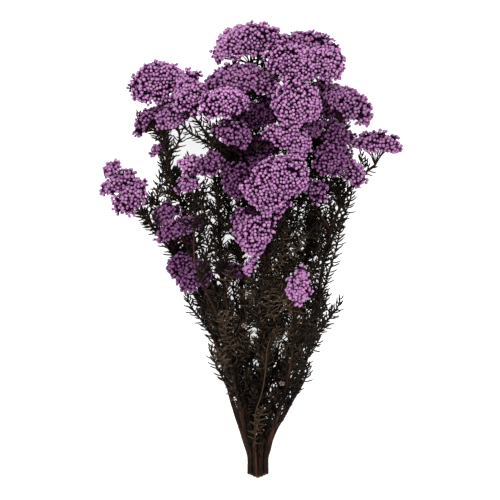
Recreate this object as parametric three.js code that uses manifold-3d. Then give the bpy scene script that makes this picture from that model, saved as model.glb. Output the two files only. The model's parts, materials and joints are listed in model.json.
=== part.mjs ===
// A lying bunch of dried, dyed rice flower. Woody stems are gathered at their cut ends and fan out
// into branches, needle leaves and domed heads of round buds. Millimetres, +Z up. The bunch lies on
// z = 0 with its stems along Y, and the origin is the middle of its footprint.

import * as THREE from 'three';
import { ConvexHull } from 'three/addons/math/ConvexHull.js';
import { mergeVertices } from 'three/addons/utils/BufferGeometryUtils.js';
import Module from 'manifold-3d';

const wasm = await Module();
wasm.setup();

// Stems, branches and shoots: radius at the root and at the tip, number of sides, and the step
// between the points of their lines
const STEM = { root: 2.55, tip: 1.35, sides: 6, step: 15, whorl: 27 };
const BRANCH = { root: 1.4, tip: 0.95, sides: 4, step: 9, whorl: 24 };
const SHOOT = { root: 1.2, tip: 0.8, sides: 4, step: 9, whorl: 24 };
const STALK_RADIUS = 0.6;

// Gathered end: the stems lie side by side in three rows, like logs, straight for a short way
const END_X = 9.5;
const END_Y = -229;
const END_PITCH = 5.55;
const ROW_RISE = 4.85;
const ROW_LOW = STEM.root * Math.cos(Math.PI / STEM.sides) + 0.02;
const STRAIGHT_END = 20;

// Needle leaves, and the height along the bunch where they begin
const NEEDLE_LENGTH = 12.5;
const NEEDLE_BAND = 1.7;
const NEEDLE_THICK = 0.45;
const NEEDLES_FROM_Y = -165;
const BARE_FOOT = 5;
const BARE_UNDER_HEAD = 20;
const BARE_AT_TIP = 3;

// Heads: how uneven the outline of a dome is at two, three and five waves round, how much its top
// swells, the area of one bud, how far buds stand out and valleys sink in, how far the rim wraps
// round, how far below a head its stalks meet, and the gap that a stalk keeps to its head
const OUTLINE_WAVES = [[2, 0.09], [3, 0.06], [5, 0.04]];
const TOP_SWELL = 0.12;
const PHASE_STEP = 2.4;
const BUD_CELL = 68;
const BUD_LIFT = 1.7;
const BUD_DIP = 1.3;
const FEWEST_BUDS = 9;
const RIM_POLAR = THREE.MathUtils.degToRad(104);
const GOLDEN_ANGLE = Math.PI * (3 - Math.sqrt(5));
const HUB_DROP = 0.55;
const WIDEST_HUB = 22;
const SEAT_GAP = 0.4;
const STALK_GAP = 1.5;
const STALKS = 4;
const REST_CUT = 0.8;
const BRANCH_FOR_DOME = 16;

// Clearances between pieces, the rounds in which they move apart, the shares of a push that are
// used in one round, and how strongly a bend is spread along a line in the early and late rounds
const GAP = 0.6;
const LINE_GAP = 0.85;
const NEEDLE_GAP = 0.75;
const HEAD_ROUNDS = 300;
const LINE_ROUNDS = 260;
const NEAR_ROUNDS = 10;
const PUSH_SHARE = 0.3;
const LEVEL_SHARE = 0.25;
const PULL_SHARE = 0.9;
const LATE_ROUNDS = 0.7;
const EARLY_EASE = 0.25;
const LATE_EASE = 0.04;

// What leaves out pairs that are too far apart to touch
const FAR_HEADS = 80;
const FAR_LINES = 26;
const FAR_FROM_HEAD = 52;
const FAR_FROM_NEEDLE = 34;

const SIMPLIFY = 0.01;
const PURPLE = [0x8f5a8b, 0x7d4d7a];
const BARK = [0x3a2c24, 0x4a3226];

// Small helpers on points and ways written as [x, y, z]
const add = (a, b) => [a[0] + b[0], a[1] + b[1], a[2] + b[2]];
const sub = (a, b) => [a[0] - b[0], a[1] - b[1], a[2] - b[2]];
const scale = (a, k) => [a[0] * k, a[1] * k, a[2] * k];
const dot = (a, b) => a[0] * b[0] + a[1] * b[1] + a[2] * b[2];
const cross = (a, b) => [a[1] * b[2] - a[2] * b[1], a[2] * b[0] - a[0] * b[2], a[0] * b[1] - a[1] * b[0]];
const size = (a) => Math.sqrt(dot(a, a));
const unit = (a) => scale(a, 1 / (size(a) || 1));
const mix = (a, b, t) => add(scale(a, 1 - t), scale(b, t));
const clamp = THREE.MathUtils.clamp;
const toVector = (p) => new THREE.Vector3(...p);

// A seeded draw, so that every run gives the same bunch
function seededRandom(seed) {
  let state = seed >>> 0;
  return () => {
    state = (state + 0x6d2b79f5) >>> 0;
    let t = state;
    t = Math.imul(t ^ (t >>> 15), t | 1);
    t ^= t + Math.imul(t ^ (t >>> 7), t | 61);
    return ((t ^ (t >>> 14)) >>> 0) / 2 ** 32;
  };
}

// One dome of buds. x, y, z is its middle, across and along are the half-widths of its oval rim and
// rise is its height. lean turns it clockwise from +Y seen from above, tilt turns it up to +Z.
let domeCount = 0;
function dome(x, y, z, across, along, rise, lean, tilt) {
  const turn = THREE.MathUtils.degToRad(lean);
  const lift = THREE.MathUtils.degToRad(tilt);
  const axis = [Math.sin(turn) * Math.cos(lift), Math.cos(turn) * Math.cos(lift), Math.sin(lift)];
  const side = [Math.cos(turn), -Math.sin(turn), 0];
  domeCount += 1;
  const phase = domeCount * PHASE_STEP;
  return { middle: [x, y, z], across, along, rise, axis, side, fore: cross(axis, side), phase };
}

// Each stem: its place in the cut end (column and row), how far its end stands back, the points that
// it passes through, the heads that it bears, of which the first is on its own tip, and the shoots
// without flowers, each with the height where it leaves and its tip
const STEMS = [
  {
    name: 'leafy_stem_left',
    column: -1, row: 1, back: 4,
    via: [[-1, -180, 18], [-14, -130, 22], [-32, -68, 27], [-59, -14, 36], [-80, 56, 60], [-88, 101, 68]],
    heads: {
      head_left_big: [dome(-87, 172, 82, 26, 21, 15, -35, 38)],
      head_left_back: [dome(-103, 133, 62, 16, 15, 11, -50, -5)],
      head_left_third: [dome(-80, 137, 76, 15, 15, 12, -25, 30)],
      head_left_tuft: [dome(-92, 104, 50, 9, 8, 7, -30, 5)],
    },
    shoots: [[-130, [-28, -74, 24]], [-75, [-66, 8, 26]], [30, [-92, 76, 78]]],
  },
  {
    name: 'leafy_stem_outer_left',
    column: -1.5, row: 0, back: 9,
    via: [[-4, -190, 10], [-16, -152, 16], [-26, -112, 22], [-42, -62, 26], [-67, -8, 36], [-92, 30, 52]],
    heads: {
      head_outer_left: [dome(-120, 57, 70, 18, 16, 12, -45, 45), dome(-132, 71, 62, 20, 12, 9, -34, 38)],
      head_outer_inner: [dome(-84, 39, 58, 14, 12, 10, -30, 20)],
      head_wing_left: [dome(-70, 27, 74, 23, 12, 9, -20, 30)],
      head_wing_small: [dome(-60, 12, 50, 9, 8, 6, 20, 0)],
    },
    shoots: [[-150, [-38, -96, 14]], [-95, [-62, -44, 22]], [-30, [-90, 60, 46]]],
  },
  {
    name: 'leafy_stem_low_left',
    column: -1.5, row: 2, back: 7,
    via: [[-12, -140, 40], [-33, -67, 74], [-48, -39, 88], [-60, -12, 94], [-64, 24, 89], [-59, 58, 80]],
    heads: {
      head_left_small: [dome(-56, 88, 88, 11, 10, 8, 15, 45)],
      head_left_lower: [dome(-62, 68, 82, 10, 9, 7, -30, 45)],
      head_low_left: [
        dome(-49, -19, 62, 18, 18, 12, -15, 44),
        dome(-66, -11, 61, 13, 11, 9, -38, 38),
        dome(-59, -30, 62, 11, 10, 8, -100, 36),
      ],
      head_low_inner: [dome(-25, -18, 60, 14, 11, 9, 20, 10)],
    },
    shoots: [[-150, [-24, -92, 52]], [-90, [-48, -58, 52]], [-40, [-34, 22, 78]]],
  },
  {
    name: 'leafy_stem_mid_left',
    column: -0.5, row: 2, back: 2,
    via: [[-5, -150, 32], [-14, -100, 46], [-22, -32, 64], [-30, 46, 86], [-36, 95, 98]],
    heads: {
      head_front_left: [dome(-28, 151, 120, 21, 17, 13, -15, 56)],
      head_left_second: [dome(-61, 160, 98, 17, 18, 13, -5, 45), dome(-62, 175, 87, 10, 10, 10, 0, 36)],
      head_left_bright: [dome(-14, 119, 112, 18, 12, 10, 10, 60)],
      head_inner_far_left: [dome(-36, 88, 98, 12, 12, 9, -35, 40)],
    },
    shoots: [[-140, [-12, -66, 62]], [-60, [-32, -2, 84]], [0, [-46, 48, 96]]],
  },
  {
    name: 'leafy_stem_top_left',
    column: -0.5, row: 0, back: 12,
    via: [[2, -150, 18], [-4, -100, 26], [-6, -40, 40], [-6, 62, 57], [0, 140, 68]],
    heads: {
      head_top_left: [dome(2, 214, 78, 31, 22, 19, -6, 28), dome(-27, 197, 77, 9, 10, 9, -60, 12)],
      head_shoulder_left: [dome(-16, 176, 88, 28, 18, 14, -10, 38), dome(14, 173, 88, 17, 13, 10, 20, 42)],
      head_inner_left: [dome(-12, 75, 112, 17, 18, 12, -30, 55)],
      head_deep_top: [dome(8, 139, 84, 23, 18, 12, 0, 34)],
    },
    shoots: [[-160, [4, -94, 40]], [-90, [-16, -32, 36]], [-10, [-22, 50, 60]], [50, [-34, 122, 52]]],
  },
  {
    name: 'leafy_stem_top',
    column: 0, row: 1, back: 10,
    via: [[14, -150, 24], [20, -100, 34], [28, -40, 50], [38, 60, 68], [42, 130, 84]],
    heads: {
      head_top_right: [dome(45, 190, 98, 27, 22, 15, 6, 48), dome(78, 189, 92, 21, 20, 14, 35, 40)],
      head_top_back: [dome(57, 212, 58, 27, 17, 14, 5, 20)],
      head_front_top: [dome(48, 148, 126, 26, 20, 14, 10, 72)],
      head_deep_middle: [dome(10, 107, 80, 22, 16, 12, 5, 38)],
    },
    shoots: [[-150, [30, -94, 44]], [-80, [44, -6, 70]], [-20, [52, 52, 54]]],
  },
  {
    name: 'leafy_stem_top_right',
    column: 1, row: 1, back: 6,
    via: [[22, -170, 20], [36, -120, 28], [51, -45, 44], [70, 50, 58], [80, 106, 60]],
    heads: {
      head_shoulder_right: [dome(100, 154, 86, 26, 18, 14, 30, 34)],
      head_inner_right: [dome(66, 127, 96, 15, 13, 10, 40, 35)],
      head_behind_right: [dome(84, 147, 66, 19, 17, 12, 26, 30)],
      head_side_right: [dome(92, 119, 83, 15, 13, 10, 50, 26)],
      head_tuft_right: [dome(103, 116, 60, 7, 8, 7, 40, 10)],
    },
    shoots: [[-150, [54, -78, 22]], [-60, [72, 2, 72]], [0, [62, 74, 44]]],
  },
  {
    name: 'leafy_stem_right',
    column: 1.5, row: 0, back: 11,
    via: [[23, -186, 14], [38, -160, 17], [49, -136, 22], [64, -84, 32], [80, 10, 52], [104, 66, 62]],
    heads: {
      head_far_right: [dome(124, 112, 70, 22, 11, 12, 4, 20)],
      head_low_right: [dome(84, 96, 102, 17, 17, 12, 25, 50)],
      head_edge_right: [dome(108, 80, 82, 13, 12, 11, 60, 35)],
      head_small_right: [dome(68, 63, 88, 11, 11, 9, 20, 50)],
    },
    shoots: [[-165, [60, -116, 14]], [-96, [84, -58, 46]], [-70, [92, 26, 34]], [-20, [104, 62, 42]]],
  },
  {
    name: 'leafy_stem_front',
    column: 0.5, row: 2, back: 0,
    via: [[13, -150, 32], [14, -100, 50], [16, -50, 76], [22, 10, 104]],
    heads: {
      head_centre: [dome(30, 66, 136, 28, 18, 13, 20, 80), dome(12, 42, 131, 22, 14, 10, 205, 66)],
      head_centre_low: [dome(8, 23, 128, 16, 20, 12, 215, 66)],
      head_centre_side: [dome(-11, 27, 106, 14, 8, 8, -80, 30)],
      head_front_middle: [dome(41, 115, 122, 23, 12, 10, 12, 62), dome(49, 103, 121, 10, 8, 8, 10, 62)],
      head_deep_low: [dome(14, 88, 98, 14, 9, 8, 10, 50)],
    },
    shoots: [[-150, [22, -84, 72]], [-100, [6, -42, 88]], [-70, [38, -2, 96]], [-40, [50, 30, 98]]],
  },
  {
    name: 'leafy_stem_low_right',
    column: 1.5, row: 2, back: 8,
    via: [[24, -182, 24], [34, -150, 36], [44, -105, 70]],
    heads: {
      head_low_front: [dome(50, -38, 118, 13, 15, 9, 10, 70), dome(53, -23, 115, 8, 8, 7, 0, 60)],
      head_low_small: [dome(0, -12, 114, 12, 7, 6, -60, 50)],
    },
    shoots: [[-160, [54, -104, 40]], [-112, [92, -47, 78]], [-120, [71, -84, 92]]],
  },
  {
    name: 'leafy_stem_under',
    column: 0.5, row: 0, back: 14,
    via: [[12, -150, 12], [16, -100, 16], [16, -20, 20], [14, 70, 26]],
    heads: {
      head_under_top: [dome(-8, 170, 32, 20, 17, 13, -5, -35)],
      head_under_left: [dome(-78, 146, 22, 21, 18, 13, -30, -45)],
      head_under_right: [dome(52, 150, 21, 21, 18, 13, 15, -50)],
      head_under_middle: [dome(-12, 100, 26, 20, 17, 13, 0, -60)],
      head_under_edge: [dome(88, 106, 27, 19, 16, 12, 40, -40)],
    },
    shoots: [[-150, [-8, -92, 10]], [-100, [32, -30, 12]], [-60, [-18, 10, 12]], [-20, [46, 56, 14]]],
  },
];

// The heads on the underside that the bunch lies on, together with the stem ends
const RESTING = [
  'head_under_left', 'head_under_right', 'head_under_middle', 'head_under_edge', 'head_under_top'];

const HEADS = STEMS.flatMap((s, stem) => (
  Object.entries(s.heads).map(([name, domes]) => ({ name, stem, domes }))));

// A point on the uneven outer form of a dome, from its polar angle, its turn and a lift off it
function domePoint(d, polar, turn, lift) {
  const wave = OUTLINE_WAVES.reduce((sum, [count, height], i) => (
    sum + height * Math.cos(count * turn + (i + 1) * d.phase)), 1);
  const swell = 1 + TOP_SWELL * Math.sin(2 * turn + d.phase) * Math.sin(polar);
  const base = add(d.middle, scale(d.axis, -d.rise / 2));
  const aside = scale(d.side, (d.across + lift) * Math.sin(polar) * wave * Math.cos(turn));
  const ahead = scale(d.fore, (d.along + lift) * Math.sin(polar) * wave * Math.sin(turn));
  return add(add(base, scale(d.axis, (d.rise + lift) * Math.cos(polar) * swell)), add(aside, ahead));
}

// The lowest point of a dome's flat back, and the place below it where its stalks meet
const underside = (d) => add(d.middle, scale(d.axis, -d.rise * 0.85 - 2));
const hubOf = (d) => add(underside(d), scale(d.axis, -HUB_DROP * Math.min(d.across, WIDEST_HUB) - 2));

// The places of the buds on a dome, spread evenly by the golden angle
function budSpots(d) {
  const count = Math.max(FEWEST_BUDS, Math.round((1.45 * Math.PI * d.across * d.along) / BUD_CELL));
  return Array.from({ length: count }, (_, i) => ({
    polar: Math.acos(1 - ((i + 0.5) / count) * (1 - Math.cos(RIM_POLAR))),
    turn: i * GOLDEN_ANGLE + d.phase,
  }));
}

const budTip = (d, { polar, turn }) => domePoint(d, polar, turn, BUD_LIFT);
const lowestBud = (d) => Math.min(...budSpots(d).map((spot) => budTip(d, spot)[2]));

// A dome as one plain oval body, for keeping others clear of it
function ovalOf(d) {
  return {
    centre: add(d.middle, scale(d.axis, d.rise * -0.16)),
    axes: [d.side, d.fore, d.axis],
    half: [d.across * 1.06 + BUD_LIFT, d.along * 1.06 + BUD_LIFT, d.rise * 0.68 + BUD_LIFT],
  };
}

// How far an oval reaches along a way, and how deep a point lies in it: 1 on its skin, less inside
const reach = (oval, way) => size(oval.axes.map((a, i) => oval.half[i] * dot(a, way)));
const depthIn = (oval, away, margin) => size(oval.axes.map((a, i) => dot(a, away) / (oval.half[i] + margin)));

// The push that parts two ovals, along the way that needs the least of it, and mostly up or down
function partingPush(a, b) {
  const apart = sub(b.centre, a.centre);
  if (size(apart) > FAR_HEADS) return null;
  const ways = [unit(apart), [0, 0, Math.sign(apart[2]) || 1], unit([apart[0], apart[1], 0])];
  const rooms = ways.map((way) => dot(apart, way) - reach(a, way) - reach(b, way) - GAP);
  const room = Math.max(...rooms);
  if (room >= 0) return null;
  const way = ways[rooms.indexOf(room)];
  return scale([way[0] * LEVEL_SHARE, way[1] * LEVEL_SHARE, way[2]], -room * PUSH_SHARE);
}

// Heads that press on each other move apart, so that the view from above stays. Those that the
// bunch lies on come down until their lowest buds reach the surface.
function spreadHeads() {
  const domes = HEADS.flatMap((h, head) => h.domes.map((d) => ({ head, d })));
  for (let round = 0; round < HEAD_ROUNDS; round++) {
    const shift = HEADS.map(() => [0, 0, 0]);
    const ovals = domes.map(({ d }) => ovalOf(d));
    domes.forEach((first, i) => {
      domes.slice(i + 1).forEach((second, k) => {
        const push = first.head === second.head ? null : partingPush(ovals[i], ovals[i + 1 + k]);
        if (!push) return;
        shift[first.head] = sub(shift[first.head], push);
        shift[second.head] = add(shift[second.head], push);
      });
    });
    HEADS.forEach((h, head) => {
      h.domes.forEach((d) => { d.middle = add(d.middle, shift[head]); });
      const low = Math.min(...h.domes.map(lowestBud));
      const sink = RESTING.includes(h.name) ? low + REST_CUT : Math.min(low, 0);
      h.domes.forEach((d) => { d.middle[2] -= sink; });
    });
  }
}

// The tips of the stalks that spread from the hub to the back of a dome. A tip that would run into
// another dome of the same head is left out.
function stalkTips(d) {
  const others = HEADS.find(({ domes }) => domes.includes(d)).domes.filter((o) => o !== d).map(ovalOf);
  const tips = Array.from({ length: STALKS }, (_, k) => {
    const rim = domePoint(d, RIM_POLAR, ((k + 0.5) * 2 * Math.PI) / STALKS, 0);
    return add(mix(underside(d), rim, 0.45), scale(d.axis, -STALK_GAP));
  });
  return tips.filter((tip) => !others.some((oval) => depthIn(oval, sub(tip, oval.centre), 1) < 1));
}

// A smooth line through hand-set points, cut into steps of about the given length
function lineThrough(points, step) {
  const curve = new THREE.CatmullRomCurve3(points.map(toVector), false, 'centripetal');
  const count = Math.max(3, Math.round(curve.getLength() / step));
  return curve.getSpacedPoints(count).map((p) => p.toArray());
}

// A main stem, from its place in the cut end, straight for a short way, then up to its first head
function layStem(s, stem) {
  const start = [END_X + s.column * END_PITCH, END_Y + s.back, ROW_LOW + s.row * ROW_RISE];
  const straight = [start[0], END_Y + STRAIGHT_END, start[2]];
  const lead = Object.values(s.heads)[0][0];
  const above = lineThrough([start, straight, ...s.via, hubOf(lead)], STEM.step)
    .filter((p) => p[1] > straight[1] + 4);
  return { form: STEM, stem, points: [start, straight, ...above], pinned: 2, dome: lead };
}

// A branch or shoot that leaves its stem well below its end and comes in along the given way
function layBranch(form, parent, end, way, leaveY, headDome) {
  const line = parent.points;
  const start = line.slice(3, -2).reduce((best, p) => (
    Math.abs(p[1] - leaveY) < Math.abs(best[1] - leaveY) ? p : best));
  const at = line.indexOf(start);
  const along = unit(sub(line[at + 1], line[at - 1]));
  const span = size(sub(end, start));
  const lastPull = form === SHOOT ? 0.25 : 0.35;
  const curve = new THREE.CubicBezierCurve3(
    toVector(start),
    toVector(add(start, scale(along, span * 0.3))),
    toVector(sub(end, scale(way, span * lastPull))),
    toVector(end));
  const count = Math.max(3, Math.round(curve.getLength() / form.step));
  const points = curve.getSpacedPoints(count).map((p) => p.toArray());
  return { form, stem: parent.stem, points, pinned: 1, dome: headDome, parent, at };
}

// The height where a branch leaves its stem: lower for a head that lies further from the stem
function leaveHeight(parent, end) {
  const beside = parent.points.filter((p) => Math.abs(p[1] - end[1]) < 2 * STEM.step);
  const nearest = Math.min(90, ...beside.map((p) => size(sub(p, end))));
  return end[1] - clamp(1.1 * nearest, 34, 110);
}

// Every woody line: the main stems first, then the branches to the other heads, then the shoots
function layLines() {
  const lines = STEMS.map(layStem);
  HEADS.forEach(({ stem, domes }) => domes.forEach((d, k) => {
    if (d === lines[stem].dome || (k > 0 && d.across < BRANCH_FOR_DOME)) return;
    lines.push(layBranch(BRANCH, lines[stem], hubOf(d), d.axis, leaveHeight(lines[stem], hubOf(d)), d));
  }));
  STEMS.forEach((s, stem) => s.shoots.forEach(([leaveY, tip]) => {
    lines.push(layBranch(SHOOT, lines[stem], tip, [0, 1, 0], leaveY, null));
  }));
  return lines;
}

const radiusAt = (line, share) => line.form.root + (line.form.tip - line.form.root) * share;

// The nearest points of two short straight pieces, as shares of their lengths
function nearestShares(p, q, r, s) {
  const d1 = sub(q, p);
  const d2 = sub(s, r);
  const w = sub(p, r);
  const a = dot(d1, d1);
  const b = dot(d1, d2);
  const c = dot(d1, w);
  const e = dot(d2, d2);
  const f = dot(d2, w);
  const spread = a * e - b * b;
  let u = spread > 1e-9 ? clamp((b * f - c * e) / spread, 0, 1) : 0;
  let v = (b * u + f) / e;
  if (v < 0) {
    v = 0;
    u = clamp(-c / a, 0, 1);
  } else if (v > 1) {
    v = 1;
    u = clamp((b - c) / a, 0, 1);
  }
  return [u, v];
}

// The straight pieces of all lines, and the stalks under the heads, which don't move
function piecesOf(lines) {
  const pieces = [];
  lines.forEach((line, k) => {
    const last = line.points.length - 1;
    for (let i = 0; i < last; i++) {
      const r = radiusAt(line, i / last);
      pieces.push({ line, k, i, stem: line.stem, a: line.points[i], b: line.points[i + 1], r });
    }
  });
  HEADS.forEach(({ stem, domes }) => domes.forEach((d) => stalkTips(d).forEach((tip) => {
    pieces.push({ line: null, k: -1, i: 0, stem, a: hubOf(d), b: tip, r: STALK_RADIUS });
  })));
  return pieces;
}

// The pairs of pieces of different stems that are near enough to touch within a few rounds
function nearPairs(pieces) {
  const middles = pieces.map((p) => mix(p.a, p.b, 0.5));
  const pairs = [];
  for (let i = 0; i < pieces.length; i++) {
    for (let j = i + 1; j < pieces.length; j++) {
      const fixed = pieces[i].k < 0 && pieces[j].k < 0;
      if (fixed || pieces[i].stem === pieces[j].stem) continue;
      if (size(sub(middles[i], middles[j])) < FAR_LINES) pairs.push([i, j]);
    }
  }
  return pairs;
}

// Lines that run too close to another stem's lines, or to a head, bend clear of them
function spreadLines(lines) {
  const rest = lines.map((line) => line.points.map((p) => [...p]));
  const ovals = HEADS.flatMap(({ domes }) => domes.map((d) => ({ d, oval: ovalOf(d) })));
  let pairs = [];
  for (let round = 0; round < LINE_ROUNDS; round++) {
    const pieces = piecesOf(lines);
    if (round % NEAR_ROUNDS === 0) pairs = nearPairs(pieces);
    const pulls = lines.map((line) => line.points.map(() => [0, 0, 0, 0]));
    const shove = (piece, share, by) => {
      if (piece.k < 0) return;
      [[piece.i, 1 - share], [piece.i + 1, share]].forEach(([i, weight]) => {
        const pull = pulls[piece.k][i];
        by.forEach((value, c) => { pull[c] += value * weight; });
        pull[3] += weight;
      });
    };
    for (const [i, j] of pairs) {
      const p = pieces[i];
      const q = pieces[j];
      const [u, v] = nearestShares(p.a, p.b, q.a, q.b);
      const apart = sub(mix(q.a, q.b, v), mix(p.a, p.b, u));
      const lack = p.r + q.r + LINE_GAP - size(apart);
      if (lack <= 0) continue;
      const part = p.k < 0 || q.k < 0 ? lack : lack / 2;
      shove(p, u, scale(unit(apart), -part));
      shove(q, v, scale(unit(apart), part));
    }
    for (const piece of pieces.filter((p) => p.k >= 0)) {
      const ownEnd = piece.i > piece.line.points.length - 5;
      for (const { d, oval } of ovals) {
        const tooFar = size(sub(piece.a, oval.centre)) > FAR_FROM_HEAD;
        if (tooFar || (ownEnd && d === piece.line.dome)) continue;
        for (const share of [0, 0.25, 0.5, 0.75]) {
          const away = sub(mix(piece.a, piece.b, share), oval.centre);
          const depth = depthIn(oval, away, piece.r + GAP + 0.6);
          if (depth < 1) shove(piece, share, scale(away, Math.min(1 / Math.max(depth, 0.2) - 1, 0.4)));
        }
      }
    }
    const ease = round < LINE_ROUNDS * LATE_ROUNDS ? EARLY_EASE : LATE_EASE;
    lines.forEach((line, k) => moveLine(line, rest[k], pulls[k], ease));
  }
}

// One round for one line: its free points follow their pulls, and the bend is spread along it
function moveLine(line, rest, pulls, ease) {
  const last = line.points.length - 1;
  const lastFree = line.form === SHOOT ? last : last - 1;
  for (let i = line.pinned; i <= lastFree; i++) {
    const pull = scale(pulls[i], PULL_SHARE / Math.max(pulls[i][3], 1));
    line.points[i] = add(line.points[i], pull);
  }
  const moved = line.points.map((p, i) => sub(p, rest[i]));
  for (let i = line.pinned; i <= lastFree; i++) {
    const around = i === last ? moved[i - 1] : mix(moved[i - 1], moved[i + 1], 0.5);
    line.points[i] = add(rest[i], mix(moved[i], around, ease));
    line.points[i][2] = Math.max(line.points[i][2], radiusAt(line, i / last) + 0.3);
  }
  if (line.parent) line.points[0] = line.parent.points[line.at];
}

// True where a new needle stays clear of every line, head and other needle
function needleFits(root, tip, line, placed, pieces, ovals) {
  if (tip[2] < 1) return false;
  const from = mix(root, tip, 0.18);
  const clearOfLines = pieces.every((piece) => {
    const own = piece.line === line && size(sub(mix(piece.a, piece.b, 0.5), root)) < 24;
    if (own || size(sub(piece.a, root)) > FAR_FROM_NEEDLE) return true;
    const [u, v] = nearestShares(from, tip, piece.a, piece.b);
    const room = size(sub(mix(from, tip, u), mix(piece.a, piece.b, v)));
    return room >= piece.r + NEEDLE_THICK + (piece.stem === line.stem ? 0.2 : NEEDLE_GAP);
  });
  const clearOfHeads = () => ovals.every((oval) => (
    size(sub(oval.centre, root)) > FAR_FROM_HEAD
    || [0.3, 0.65, 1].every((t) => depthIn(oval, sub(mix(root, tip, t), oval.centre), 1.6) >= 1)));
  const clearOfNeedles = () => placed.every((other) => {
    if (size(sub(other.root, root)) > FAR_LINES) return true;
    const otherFrom = mix(other.root, other.tip, 0.12);
    const [u, v] = nearestShares(from, tip, otherFrom, other.tip);
    const room = size(sub(mix(from, tip, u), mix(otherFrom, other.tip, v)));
    return room >= (other.line === line ? 0.5 : 2 * NEEDLE_THICK + 1);
  });
  return clearOfLines && clearOfHeads() && clearOfNeedles();
}

// The tip of a needle on one face of a stem, pointing out and forward, or null where none fits
function needleTip(root, out, tangent, line, placed, pieces, ovals, random) {
  for (let attempt = 0; attempt < 3; attempt++) {
    const rise = 0.55 + 0.5 * random() + 0.12 * attempt;
    const sway = (random() - 0.5) * 0.5;
    const long = NEEDLE_LENGTH * (0.8 + 0.35 * random()) * (1 - 0.16 * attempt);
    const forward = add(scale(tangent, Math.cos(rise)), scale(out, Math.sin(rise)));
    const way = unit(add(forward, scale(cross(tangent, out), sway)));
    const tip = add(root, scale(way, long));
    if (needleFits(root, tip, line, placed, pieces, ovals)) return tip;
  }
  return null;
}

const middleOf = (points, face) => scale(face.map((i) => points[i]).reduce(add), 1 / face.length);

// The faces of the last band of a branch that point most nearly at each stalk's tip
function facesForStalks(points, faces, centre, tips) {
  const raised = new Map();
  const facing = (face, way) => dot(unit(sub(middleOf(points, face), centre)), way);
  tips.forEach((tip) => {
    const way = unit(sub(tip, centre));
    const free = faces.map((face, k) => k).filter((k) => !raised.has(k));
    free.sort((a, b) => facing(faces[b], way) - facing(faces[a], way));
    raised.set(free[0], tip);
  });
  return raised;
}

// The rings of a line's tube. A leafy ring, and the last one, is doubled into a narrow band.
function ringsOf(line, length, heightAt) {
  const bareEnd = line.dome ? BARE_UNDER_HEAD : BARE_AT_TIP;
  const leafFrom = line.form === STEM ? NEEDLES_FROM_Y : -Infinity;
  const rings = [];
  const addRing = (s, leafy, stalks) => {
    rings.push({ s, turned: s > STRAIGHT_END });
    if (leafy || stalks) rings.push({ s: Math.min(s + NEEDLE_BAND, length - 0.3), band: true, stalks });
  };
  for (let s = 0; s < length - bareEnd; s += line.form.whorl) {
    addRing(s, s > BARE_FOOT && heightAt(s) > leafFrom, false);
  }
  addRing(length - (line.dome ? 2.6 : 2.2), !line.dome, Boolean(line.dome));
  return rings;
}

// A woody line as a closed tube. The faces of its bands are raised into needles, and a branch ends
// in stalks raised from its last band.
function lineSolid(line, placed, pieces, ovals, random) {
  const { sides, root, tip } = line.form;
  const curve = new THREE.CatmullRomCurve3(line.points.map(toVector), false, 'centripetal');
  const length = curve.getLength();
  const rings = ringsOf(line, length, (s) => curve.getPointAt(s / length).y);
  const points = [];
  const triangles = [];
  let normal = null;
  let phase = line.form === STEM ? Math.PI / sides : random() * 2;
  rings.forEach((ring) => {
    ring.at = curve.getPointAt(ring.s / length).toArray();
    ring.tangent = curve.getTangentAt(ring.s / length).toArray();
    ring.first = points.length;
    normal = normal ?? unit(cross(ring.tangent, [0, 0, 1]));
    normal = unit(sub(normal, scale(ring.tangent, dot(normal, ring.tangent))));
    const other = cross(ring.tangent, normal);
    if (ring.turned) phase += Math.PI / sides;
    const radius = root + ((tip - root) * ring.s) / length;
    for (let k = 0; k < sides; k++) {
      const turn = phase + ((k + 0.5) * 2 * Math.PI) / sides;
      const out = add(scale(normal, Math.cos(turn)), scale(other, Math.sin(turn)));
      points.push(add(ring.at, scale(out, radius)));
    }
  });
  rings.slice(1).forEach((high, n) => {
    const low = rings[n];
    const faces = Array.from({ length: sides }, (_, k) => {
      const next = (k + 1) % sides;
      return [low.first + k, low.first + next, high.first + next, high.first + k];
    });
    const raised = high.stalks ? facesForStalks(points, faces, low.at, stalkTips(line.dome)) : new Map();
    if (high.band && !high.stalks) {
      faces.forEach((face, k) => {
        const base = middleOf(points, face);
        const out = unit(sub(base, mix(low.at, high.at, 0.5)));
        const end = needleTip(base, out, low.tangent, line, placed, pieces, ovals, random);
        if (!end) return;
        placed.push({ root: base, tip: end, line });
        raised.set(k, end);
      });
    }
    faces.forEach(([a, b, c, d], k) => {
      if (raised.has(k)) {
        const end = points.push(raised.get(k)) - 1;
        triangles.push([a, b, end], [b, c, end], [c, d, end], [d, a, end]);
      } else {
        triangles.push([a, b, c], [a, c, d]);
      }
    });
  });
  const start = rings[0].first;
  const end = rings[rings.length - 1].first;
  const crownAt = line.dome
    ? add(underside(line.dome), scale(line.dome.axis, -SEAT_GAP))
    : curve.getPointAt(1).toArray();
  const crown = points.push(crownAt) - 1;
  for (let k = 1; k + 1 < sides; k++) triangles.push([start, start + k + 1, start + k]);
  for (let k = 0; k < sides; k++) triangles.push([end + k, end + ((k + 1) % sides), crown]);
  return solid(points, triangles);
}

// The triangles that join spots on a round form, as lists of three places in the list of spots
function joinSpots(spots) {
  const place = new Map(spots.map((p, i) => [p, i]));
  return new ConvexHull().setFromPoints(spots).faces.map((face) => {
    const corners = [];
    let edge = face.edge;
    do {
      corners.push(place.get(edge.head().point));
      edge = edge.next;
    } while (edge !== face.edge);
    return corners;
  });
}

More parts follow.
